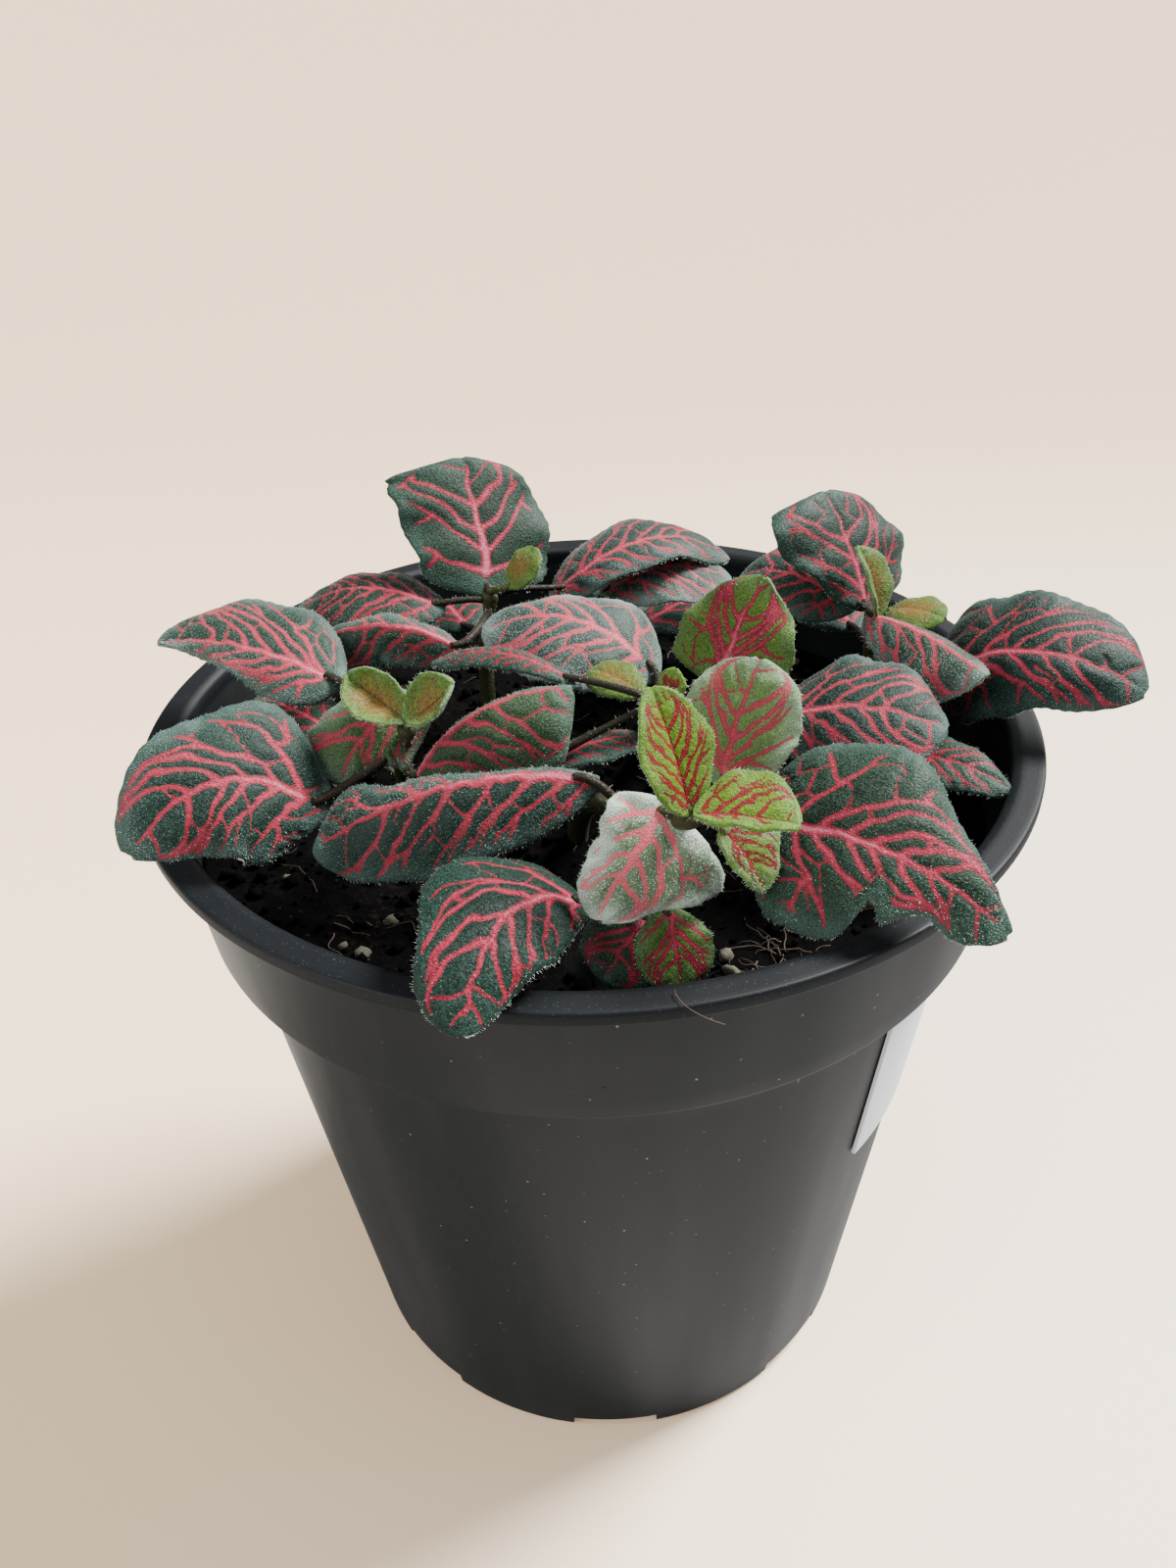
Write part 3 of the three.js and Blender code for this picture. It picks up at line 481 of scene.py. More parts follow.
class Leaf:
    """One leaf of the table: its midrib and its blade's middle surface."""

    def __init__(self, row, index, seed, fade):
        name, base, tip, (roll, arch, sway), bends, left, *others = row
        self.name, self.arch, self.sway = name, arch, sway
        self.young, self.hidden = name.startswith("young"), name.startswith("hidden")
        self.widths = [left, others[0] if others else left]
        self.notches = others[1] if len(others) > 1 else []
        self.base, self.tip = np.array(base, float), np.array(tip, float)
        self.length = np.linalg.norm(self.tip - self.base)
        self.along = (self.tip - self.base) / self.length
        flat = unit(np.array([0, 0, 1.0]) - self.along * self.along[2])
        side = np.cross(self.along, flat)
        self.normal = flat * np.cos(np.radians(roll)) + side * np.sin(np.radians(roll))
        self.right = np.cross(self.along, self.normal)
        self.folds = np.radians([bends[0], bends[-2]])
        self.curls = np.radians([bends[1], bends[-1]])
        self.wide = max(*self.widths[0], *self.widths[1])
        self.phase = index
        self.fade = fade
        self.rng = np.random.default_rng(seed)

    def look(self, table, default):
        """The value in a table whose key starts this leaf's name."""
        return next((value for key, value in table.items() if self.name.startswith(key)), default)

    def midrib(self, v):
        """Midrib points: a straight line from base to tip, bowed by arch and sway as 4 v (1 - v)."""
        bow = 4 * v * (1 - v)
        line = self.base + self.along * (self.length * v)[..., None]
        return line + self.normal * (self.arch * bow)[..., None] + self.right * (self.sway * bow)[..., None]

    def full_width(self, side, v):
        """Half width before the notches: a smooth curve through the squares of the table's widths, so
        that the ends are round."""
        y = np.array([0, *[w * w for w in self.widths[side]], 0.0])
        gap = np.diff(STATIONS)
        slope = np.diff(y) / gap
        inside = (slope[1:] * gap[:-1] + slope[:-1] * gap[1:]) / (gap[1:] + gap[:-1])
        tangent = np.concatenate([slope[:1], inside, slope[-1:]])
        i = np.clip(np.searchsorted(STATIONS, v, side="right") - 1, 0, len(gap) - 1)
        t = (v - STATIONS[i]) / gap[i]
        square = y[i] * (1 + 2 * t) * (1 - t)**2 + tangent[i] * gap[i] * t * (1 - t)**2
        square = square + y[i + 1] * t * t * (3 - 2 * t) - tangent[i + 1] * gap[i] * t * t * (1 - t)
        return np.sqrt(np.maximum(square, 0.03))

    def half_width(self, side, v):
        """Half width of one side of the blade, with its notches."""
        width = self.full_width(side, v)
        for notch_side, place, depth, span in self.notches:
            if (notch_side > 0) == (side == 1):
                width = width * (1 - depth * np.exp(-((v - place) / span)**2))
        return width

    def width_at(self, u, v):
        """Half width on the side that each place lies on."""
        return np.where(u >= 0, self.half_width(1, v), self.half_width(0, v))

    def surface(self, u, v):
        """Middle surface of the blade: u runs across from -1 to 1 and v along from 0 to 1. Each half
        leaves the midrib at its fold angle and bends on by its curl, as a circular arc, with a wave
        and a fine scallop that grow towards the margin."""
        step = 1e-3
        tangent = unit(self.midrib(v + step) - self.midrib(v - step))
        normal = unit(self.normal - tangent * (tangent @ self.normal)[..., None])
        right = np.cross(tangent, normal)
        half = (u >= 0).astype(int)
        reach, width = np.abs(u), self.width_at(u, v)
        curl = self.curls[half] * reach
        lift = self.folds[half] + curl / 2
        chord = np.sinc(curl / 2 / np.pi)
        phase = self.phase + np.where(half, 0.0, 2.0)
        calm_base = np.minimum(1, 6 * v)
        wave = WAVE_SHARE * self.wide * reach**2 * np.sin(2 * np.pi * WAVES_PER_LEAF * v + phase)
        scallop = YOUNG_SCALLOP if self.young else SCALLOP
        scallop = scallop * reach**8 * np.sin(2 * np.pi * v * self.length / SCALLOP_GAP + phase)
        across = np.sign(u) * (width * reach + scallop * calm_base) * np.cos(lift) * chord
        up = width * reach * np.sin(lift) * chord + wave * calm_base
        return self.midrib(v) + right * across[..., None] + normal * up[..., None]

    def normals(self, u, v):
        """Upper normals of the middle surface, from small steps across and along."""
        step = 2e-3
        inner = np.clip(u, -1 + step, 1 - step)
        across = self.surface(inner + step, v) - self.surface(inner - step, v)
        along = self.surface(u, v + step) - self.surface(u, v - step)
        return unit(np.cross(across, along))


class Veins:
    """The vein network on a leaf's flattened blade: a midrib, side veins that leave it and sweep
    towards the tip, each forked once, and finer veins on the borders of cells between them."""

    def __init__(self, leaf):
        self.leaf = leaf
        sparse = leaf.look(SPARSE, 1.0)
        scale = float(np.clip(np.sqrt(leaf.wide / 10), 0.5, 1.1))
        self.size = scale * (YOUNG_CELL_SHARE if leaf.young else 1.0) * sparse
        self.thick = scale * (YOUNG_VEIN_SHARE if leaf.young else 1.0) * leaf.look(BOLD, 1.0)
        self.missing = FINE_VEINS_MISSING + 0.8 * max(sparse - 1, 0)
        self.wander = VEIN_WOBBLE * self.size * (1.5 if leaf.young else 1.0)
        self.fork_delay = 0.2 if sparse > 1.5 else 0.0
        open_base = (leaf.widths[0][0] + leaf.widths[1][0]) / 2 / leaf.wide
        self.origin = 0.16 * float(np.clip((open_base - 0.45) / 0.3, 0, 1))
        self.count = int(np.clip(round(leaf.length / (SIDE_VEIN_GAP * self.size)) + 1, 4, 8))
        self.halves = [self.side_veins(half) for half in (0, 1)]

    def side_veins(self, half):
        """Side veins of one half: where each starts on the midrib, how far it rises towards the tip,
        where it forks, how far its lower branch drops back, and the centres of the cells between."""
        leaf, rng, count = self.leaf, self.leaf.rng, self.count
        sweep = leaf.look(SWEEPS, DEFAULT_SWEEP)
        share = np.clip((np.arange(count) + rng.uniform(-0.15, 0.15, count)) / count, 0, 1)
        start = self.origin + (0.80 - self.origin) * share**max(sweep, 1)
        broad = leaf.full_width(half, np.clip(start + 0.12, 0, 0.9))
        rise = 1.15 * broad / leaf.length * sweep * rng.uniform(0.88, 1.12, count)
        rise[0] -= 1.7 * self.origin
        rise = np.minimum(rise, 0.96 - start)
        fork = rng.uniform(*FORK_REACH, count) + self.fork_delay
        below = np.diff(start + rise, prepend=-0.04)
        drop = np.maximum(below, 0.04) * rng.uniform(*BRANCH_DROP, count)
        phase = rng.uniform(0, 2 * np.pi, count)
        centres = self.cell_centres(half, rng)
        return SimpleNamespace(start=start, rise=rise, fork=fork, drop=drop, phase=phase, centres=centres)

    def cell_centres(self, half, rng):
        """Centres of the cells on one half: a jittered lattice, longer along the side veins."""
        leaf = self.leaf
        gap = CELL_GAP * self.size
        across, along = np.arange(0, leaf.wide, gap), np.arange(0, leaf.length, 1.25 * gap)
        x, y = np.meshgrid(across, along, indexing="ij")
        y = y + 0.6 * gap * (np.arange(len(x)) % 2)[:, None] + 0.55 * x
        x = x + rng.normal(0, 0.20 * gap, x.shape) + 0.4 * gap
        y = (y + rng.normal(0, 0.20 * gap, y.shape)) % leaf.length
        keep = x < 1.05 * leaf.full_width(half, y / leaf.length)
        return np.stack([(2 * half - 1) * x[keep], y[keep]], -1)

    def main(self, half, k, reach):
        """Place along the leaf of side vein k, at a reach from 0 (midrib) to 1 (margin)."""
        mine = self.halves[half]
        bow = mine.rise[k] * (reach / VEIN_REACH)**1.2
        swing = 0.012 * np.minimum(reach, 0.3) / 0.3 * np.sin(7 * reach + mine.phase[k])
        return mine.start[k] + bow + swing

    def branch(self, half, k, reach):
        """Place of the side vein's lower branch, which leaves it at its fork."""
        mine = self.halves[half]
        share = np.clip((reach - mine.fork[k]) / (VEIN_REACH - mine.fork[k]), 0, 1.2)
        return self.main(half, k, reach) - mine.drop[k] * share**0.8

    def lanes(self, half, reach, v):
        """A number for the lane between side veins that each place lies in."""
        lane = np.zeros(np.shape(v), int)
        for k in range(self.count):
            lane += (v > self.main(half, k, reach)) + 50 * (v > self.branch(half, k, reach))
        return lane

    def strokes(self, half):
        """The midrib and one half's side veins as tapered strokes: start, end and two half widths."""
        leaf, side, mine = self.leaf, 2 * half - 1, self.halves[half]
        found = []

        def draw(reach, v, first, last):
            """One vein through places (reach, v), its half width going from first to last."""
            v = np.clip(v, 0.01, 0.97)
            places = np.stack([side * reach * leaf.full_width(half, v), v * leaf.length], -1)
            widths = np.linspace(first, last, len(places)) * self.thick
            found.append(np.concatenate([places[:-1], places[1:], widths[:-1, None], widths[1:, None]], 1))

        v = np.linspace(self.origin, 0.94, 14)
        draw(0 * v, v, *MIDRIB_HALF_WIDTHS)
        for k in range(self.count):
            broad = float(leaf.full_width(half, np.array(min(mine.start[k] + 0.1, 0.9))))
            weight = (1 - 0.4 * mine.start[k]) * min(max(broad / (0.5 * leaf.wide), 0.35), 1)
            first, last = SIDE_VEIN_HALF_WIDTHS[0] * weight, SIDE_VEIN_HALF_WIDTHS[1]
            end = leaf.rng.uniform(VEIN_REACH - 0.05, VEIN_REACH + 0.02)
            reach = np.linspace(0, end, 12)
            draw(reach, self.main(half, k, reach), first, last)
            reach = np.linspace(mine.fork[k], end - leaf.rng.uniform(0, 0.06), 7)
            draw(reach, self.branch(half, k, reach), first * 0.62, last)
        return np.concatenate(found)

    def distance(self, u, v):
        """Distance in millimetres from each blade place to the nearest vein's edge, below zero inside
        a vein."""
        gap = np.empty(u.shape)
        for half in (0, 1):
            mine = (u >= 0) == bool(half)
            gap[mine] = self.half_distance(half, u[mine], v[mine])
        return gap

    def half_distance(self, half, u, v):
        """The distance on one half of the blade: a soft minimum over the strokes and the cell borders,
        which fills the forks a little."""
        strokes = self.strokes(half)
        place = self.wobbled(np.stack([u * self.leaf.width_at(u, v), v * self.leaf.length], -1))
        start, run = strokes[None, :, 0:2], (strokes[:, 2:4] - strokes[:, 0:2])[None]
        share = ((place[:, None] - start) * run).sum(-1) / np.maximum((run * run).sum(-1), 1e-9)
        share = np.clip(share, 0, 1)
        gap = np.linalg.norm(place[:, None] - start - share[..., None] * run, axis=-1)
        gap = gap - (strokes[:, 4] + (strokes[:, 5] - strokes[:, 4]) * share)
        gap = np.concatenate([gap, self.border_distance(half, u, v, place)[:, None]], 1)
        least = gap.min(1)
        soft = VEIN_SOFTNESS * self.thick**1.5
        return least - soft * np.log(np.exp(-(gap - least[:, None]) / soft).sum(1))

    def wobbled(self, place):
        """Places shifted a little by smooth noise, which makes the veins wander."""
        x, y = place[:, 0] / 1.5 / self.size, place[:, 1] / 1.5 / self.size
        layer = 7.3 * self.leaf.phase + 0.1 * self.leaf.length
        shift = [lattice_noise(x + 50, y + 50, 0 * x + layer, seed) for seed in (21, 22)]
        return place + self.wander * np.stack(shift, -1)

    def border_distance(self, half, u, v, place):
        """Distance to the fine veins' edges: they lie on the borders between neighbouring cells of one
        lane, in a plane squeezed along the side veins so that the cells come out longer that way. Some
        borders are left out, and none runs right to the margin."""
        centres = self.halves[half].centres
        centre_v = np.clip(centres[:, 1] / self.leaf.length, 0, 1)
        centre_reach = np.abs(centres[:, 0]) / self.leaf.full_width(half, centre_v)
        width = self.leaf.full_width(half, v)
        reach = np.abs(u) * self.leaf.half_width(half, v) / width
        lane, centre_lane = self.lanes(half, reach, v), self.lanes(half, centre_reach, centre_v)
        way = np.array([(2 * half - 1) * 0.76, 0.65])
        squeeze = np.eye(2) - 0.38 * np.outer(way, way)
        flat, flat_centres = place @ squeeze, centres @ squeeze
        away = ((flat[:, None] - flat_centres[None])**2).sum(-1)
        away = np.where(lane[:, None] == centre_lane[None], away, 1e6)
        first, second = np.argsort(away, 1)[:, :2].T
        rows = np.arange(len(away))
        between = flat_centres[second] - flat_centres[first]
        length = np.maximum(np.linalg.norm(between, axis=1), 1e-6)
        slope = np.linalg.norm((between / length[:, None]) @ squeeze, axis=1)
        border = (away[rows, second] - away[rows, first]) / (2 * length * slope)
        lone = away[rows, second] > 1e5
        chance = np.modf(np.abs(np.sin((first + second) * 12.9898 + first * second * 78.233)) * 4375.85)[0]
        border = np.where(lone | (chance < self.missing), 5.0, border)
        limit = FINE_VEIN_REACH + 0.14 * chance
        border = border + np.maximum(reach - limit, 0) * width * 0.5
        return border - self.thick * (FINE_VEIN_HALF_WIDTH - 0.05 * reach)


def vein_gap(leaf, u, v, margin):
    """Distance to the nearest vein's edge, with the veins held off the margin and faded at notches."""
    gap = Veins(leaf).distance(u, v)
    gap = np.maximum(gap, VEIN_FREE_MARGIN * (1.3 if leaf.young else 1.0) - margin)
    for side, place, depth, span in leaf.notches:
        near = np.exp(-((v - place) / (1.6 * span))**2) * (u * side > 0) * max(depth, 0)
        gap = gap + 6 * near * np.clip(np.abs(u) - 0.45, 0, 1)
    return gap


def add_blade(shells, leaf):
    """A blade: its middle surface moved out by half the thickness on both faces, thinner towards the
    margin and raised between the veins. The lower face has a third of the rows and columns, and the
    edge between them is closed by triangles."""
    cell = LEAF_CELL * float(np.clip(leaf.wide / 8, 0.6, 1)) * (2 if leaf.hidden else 1)
    rows = 3 * int(np.clip(leaf.length / cell / 3, 5, 40)) + 1
    columns = 3 * int(np.clip(2 * leaf.wide / cell / 3, 5, 32)) + 1
    v = 0.004 + 0.496 * (1 - np.cos(np.pi * np.linspace(0, 1, rows)))
    v, u = np.meshgrid(v, np.linspace(-1, 1, columns), indexing="ij")
    middle, normal = leaf.surface(u, v), leaf.normals(u, v)
    reach = np.abs(u)
    margin = np.minimum((1 - reach) * leaf.width_at(u, v), np.minimum(v, 1 - v) * leaf.length)
    gap = vein_gap(leaf, u, v, margin)
    swell = leaf.look(QUILTS, DEFAULT_QUILT) * (1 - np.exp(-(np.maximum(gap, 0) / QUILT_RAMP)**2))
    groove = VEIN_GROOVE * np.exp(-(gap / VEIN_GROOVE_SPAN)**2)
    swell = swell * np.clip(margin / 1.2, 0, 1) - groove
    half = BLADE_THICKNESS / 2 * np.sqrt(np.clip(1 - reach**8 * 0.9, 0.1, 1))
    upper = middle + normal * (half + swell)[..., None]
    lower = (middle + normal * (swell * 0.8 - half)[..., None])[::3, ::3]
    count = rows * columns
    fine, coarse = edge_ring(rows, columns), count + edge_ring(*lower.shape[:2])
    f0, f1, f2 = fine[0::3], fine[1::3], fine[2::3]
    f3, after = np.roll(f0, -1), np.roll(coarse, -1)
    edge = np.concatenate([np.stack(three, -1) for three in (
        (f1, f0, coarse), (f2, f1, coarse), (f2, coarse, after), (f3, f2, after))])
    back = grid_quads(*lower.shape[:2])[:, ::-1] + count

    def both(field):
        """A value on the points of the upper and then the lower face."""
        return np.concatenate([field.ravel(), field[::3, ::3].ravel()])

    values = {
        "vein": both(gap),
        "margin": both(margin),
        "age": leaf.look(AGES, 0.0) * (1 - 0.35 * leaf.fade) + leaf.rng.uniform(-0.04, 0.04),
        "under": np.concatenate([np.zeros(count), np.ones(lower.size // 3)]),
        "frost": leaf.look(FROSTS_AND_PAINTED_LIGHT, 0.0),
        "fade": leaf.fade,
    }
    points = np.concatenate([upper.reshape(-1, 3), lower.reshape(-1, 3)])
    shells.add(points, np.concatenate([grid_quads(rows, columns), back]), edge, **values)


def add_hairs(shells, roots, directions, rng, kind):
    """Fine hairs: each is a three-sided spike, closed at its root."""
    least, greatest, radius = kind
    lengths = rng.uniform(least, greatest, len(roots))
    side = unit(np.cross(directions, [0.31, 0.52, 0.79]))
    other = np.cross(directions, side)
    angle = full_turn(3)[None, :, None]
    ring = np.cos(angle) * side[:, None] + np.sin(angle) * other[:, None]
    base = roots[:, None] + radius * ring
    tips = roots + directions * lengths[:, None]
    points = np.concatenate([base, tips[:, None]], 1)
    n = 4 * np.arange(len(roots))[:, None]
    faces = [n + [0, 1, 3], n + [1, 2, 3], n + [2, 0, 3], n + [2, 1, 0]]
    shells.add(points, triangles=np.concatenate(faces))


def add_leaf_hairs(shells, leaf):
    """Hairs along a leaf's margin and over its upper face, leaning towards the tip."""
    rng = leaf.rng
    share = 0.3 if leaf.hidden else 1.0
    count = int(share * MARGIN_HAIRS_PER_MM * (2 * leaf.length + leaf.wide))
    v = 0.5 - 0.5 * np.cos(np.pi * rng.uniform(0.05, 0.99, count))
    u = rng.choice([-1.0, 1.0], count)
    outward = unit(leaf.surface(u, v) - leaf.surface(u * 0.97, v))
    lean = leaf.normals(u, v) * rng.uniform(-0.2, 0.6, (count, 1)) + rng.normal(0, 0.25, (count, 3))
    add_hairs(shells, leaf.surface(u * 0.995, v), unit(outward + lean), rng, MARGIN_HAIR)
    count = int(share * FACE_HAIRS_PER_MM2 * 1.6 * leaf.length * leaf.wide)
    v = rng.uniform(0.04, 0.97, count)
    u = rng.uniform(-0.97, 0.97, count)
    normal = leaf.normals(u, v)
    direction = unit(normal + leaf.along * 0.5 + rng.normal(0, 0.3, (count, 3)))
    roots = leaf.surface(u, v) + normal * (BLADE_THICKNESS / 2)
    add_hairs(shells, roots, direction, rng, FACE_HAIR)


def add_tube_hairs(shells, path, radii, rng, count):
    """Hairs standing out all round a tube."""
    at = rng.integers(1, len(path) - 1, count)
    tangent = unit(path[at + 1] - path[at - 1])
    out = unit(np.cross(tangent, rng.normal(0, 1, (count, 3))))
    roots = path[at] + (path[at + 1] - path[at]) * rng.uniform(0, 1, (count, 1)) + out * radii[at][:, None]
    add_hairs(shells, roots, unit(out + rng.normal(0, 0.2, out.shape)), rng, STALK_HAIR)


def add_stalks(shells, hairs, shoot, leaves):
    """The stem, with a thicker knot at each pair of leaves, and the leaf stalks: a stalk leaves the
    nearest point of the stem and arrives under the blade, along the midrib."""
    path = stem_path(shoot)
    run = np.linspace(0, 1, len(path))
    knots = sum(rise * np.exp(-((run - place) / KNOT_SPAN)**2) for place, rise in KNOTS)
    off_blade = {"stalk": 1.0, "vein": 2.0, "margin": 5.0}
    add_tube(shells, path, np.interp(run, [0, 1], shoot["radii"]) + knots, 16, age=0.4, **off_blade)
    rng = leaves[0].rng
    for leaf in leaves:
        usable = path[len(path) // 5:]
        nearest = int(np.argmin(np.linalg.norm(usable - leaf.base, axis=1)))
        start = usable[nearest]
        direction = unit(usable[min(nearest + 1, len(usable) - 1)] - usable[max(nearest - 1, 0)])
        end = leaf.midrib(np.array(0.08))
        bend = np.linalg.norm(end - start) / 3
        curve = bezier(start, start + direction * bend, end - leaf.along * bend, end, LEAF_STALK_STEPS)
        radius = max(PETIOLE_LEAST_RADIUS, PETIOLE_SHARE * leaf.wide)
        radii = np.linspace(radius, 0.8 * radius, len(curve))
        add_tube(shells, curve, radii, 12, age=leaf.look(AGES, 0.0), **off_blade)
        add_tube_hairs(hairs, curve, radii, rng, int(STALK_HAIRS_PER_MM * np.linalg.norm(end - start)))
    upper = path[STEM_HAIRLESS_STEPS:]
    add_tube_hairs(hairs, upper, np.full(len(upper), shoot["radii"][1]), rng, STEM_HAIRS)


# Materials

class Field:
    """A value or colour that varies over a surface: an output of a node. Sums, differences and
    products of fields and numbers are Math nodes."""

    def __init__(self, socket):
        self.socket, self.tree = socket, socket.id_data

    def maths(self, operation, a, b):
        """The result of a Math node."""
        return Field(add_node(self.tree, "ShaderNodeMath", {0: a, 1: b}, operation=operation).outputs[0])

    def __add__(self, other):
        return self.maths("ADD", self, other)

    def __sub__(self, other):
        return self.maths("SUBTRACT", self, other)

    def __rsub__(self, other):
        return self.maths("SUBTRACT", other, self)

    def __mul__(self, other):
        return self.maths("MULTIPLY", self, other)


def set_inputs(made, inputs):
    """Sets a node's inputs: a field is linked, and a plain value goes on the socket itself."""
    for key, value in inputs.items():
        if isinstance(value, Field):
            value.tree.links.new(value.socket, made.inputs[key])
        else:
            made.inputs[key].default_value = value


def add_node(tree, kind, inputs=None, **settings):
    """A new node with its settings and its inputs."""
    made = tree.nodes.new(kind)
    for key, value in settings.items():
        setattr(made, key, value)
    set_inputs(made, inputs or {})
    return made


def ramp(value, low, high, out_low=0.0, out_high=1.0):
    """A smooth step of a field from low to high."""
    inputs = {"Value": value, "From Min": low, "From Max": high, "To Min": out_low, "To Max": out_high}
    step = add_node(value.tree, "ShaderNodeMapRange", inputs, interpolation_type="SMOOTHSTEP")
    return Field(step.outputs["Result"])


def blend(share, a, b, mode="MIX"):
    """A colour mix: a where the share is 0 and b where it is 1. Plain colours are RGB."""
    a, b = [colour if isinstance(colour, Field) else (*colour, 1.0) for colour in (a, b)]
    settings = {"data_type": "RGBA", "blend_type": mode, "clamp_factor": True}
    return Field(add_node(share.tree, "ShaderNodeMix", {0: share, 6: a, 7: b}, **settings).outputs[2])


def layered(base, *layers):
    """A colour under layers of others, each given as its share and its colour."""
    for share, colour in layers:
        base = blend(share, base, colour)
    return base


def bump(height, distance, strength):
    """The normal of a Bump node for a height between 0 and 1."""
    inputs = {"Height": height, "Distance": distance, "Strength": strength}
    return Field(add_node(height.tree, "ShaderNodeBump", inputs).outputs["Normal"])


class Finish:
    """A material in the making: its Principled shader, and the fields that drive it."""

    def __init__(self, name):
        self.material = bpy.data.materials.new(name)
        self.material.use_nodes = True
        self.tree = self.material.node_tree
        self.tree.nodes.clear()
        output = self.tree.nodes.new("ShaderNodeOutputMaterial")
        self.shader = self.tree.nodes.new("ShaderNodeBsdfPrincipled")
        self.tree.links.new(self.shader.outputs["BSDF"], output.inputs["Surface"])
        self.place = self.field("ShaderNodeTexCoord", "Object")

    def field(self, kind, output, inputs=None, **settings):
        """One output of a new node."""
        return Field(add_node(self.tree, kind, inputs, **settings).outputs[output])

    def value(self, name):
        """A value kept per point of the piece."""
        return self.field("ShaderNodeAttribute", "Fac", attribute_name=name)

    def noise(self, scale, detail=2.0, roughness=0.5, place=None):
        """Noise on the piece's own coordinates, about 0 to 1; scale is in cells a metre."""
        inputs = {"Vector": place or self.place, "Scale": scale, "Detail": detail, "Roughness": roughness}
        return self.field("ShaderNodeTexNoise", "Fac", inputs)

    def specks(self, scale, share, size, place=None):
        """The mask and the tone of the specks group on the piece's own coordinates."""
        inputs = {"Vector": place or self.place, "Scale": scale, "Share": share, "Size": size}
        made = add_node(self.tree, "ShaderNodeGroup", inputs, node_tree=SPECKS)
        return Field(made.outputs["Mask"]), Field(made.outputs["Tone"])

    def finished(self, **inputs):
        """The material, once its shader's inputs are set; an underscore in a name stands for a space."""
        set_inputs(self.shader, {name.replace("_", " "): value for name, value in inputs.items()})
        return self.material


def make_specks_group():
    """Scattered small specks: the mask is 1 near some of the points of a cell pattern. Share says
    how many of the cells have a speck, and Size how far it reaches. The tone differs by cell."""
    tree = bpy.data.node_groups.new("specks", "ShaderNodeTree")
    tree.interface.new_socket("Vector", in_out="INPUT", socket_type="NodeSocketVector")
    for name in ("Scale", "Share", "Size", "Mask", "Tone"):
        way = "OUTPUT" if name in ("Mask", "Tone") else "INPUT"
        tree.interface.new_socket(name, in_out=way, socket_type="NodeSocketFloat")
    start, end = tree.nodes.new("NodeGroupInput"), tree.nodes.new("NodeGroupOutput")
    vector, scale, share, size = [Field(start.outputs[k]) for k in range(4)]
    cells = add_node(tree, "ShaderNodeTexVoronoi", {"Vector": vector, "Scale": scale})
    split = add_node(tree, "ShaderNodeSeparateColor", {"Color": Field(cells.outputs["Color"])})
    chosen = share.maths("LESS_THAN", Field(split.outputs["Red"]), share)
    near = add_node(tree, "ShaderNodeMapRange", {
        "Value": Field(cells.outputs["Distance"]), "From Min": size, "From Max": size * 0.5})
    set_inputs(end, {"Mask": chosen * Field(near.outputs["Result"]), "Tone": Field(split.outputs["Green"])})
    return tree


def vein_colour(vein, age, frost):
    """Veins: crimson edges, a red core and a pink middle that is a painted highlight; brighter on silvery
    leaves, partly as painted light, purer on young.
    """
    core, middle = ramp(vein, 0.02, -0.25), ramp(vein, -0.22, -0.50)
    old = blend(core, (0.15, 0.008, 0.018), (0.30, 0.024, 0.052))
    # Painted highlight: the pink middle along the crown of the wider veins.
    old = layered(old, (middle, (0.48, 0.115, 0.165)), (frost * 0.6, (0.85, 0.12, 0.165)))
    young = blend(core, (0.13, 0.012, 0.007), (0.23, 0.009, 0.014))
    return blend(ramp(age, 0.45, 0.95), old, young)


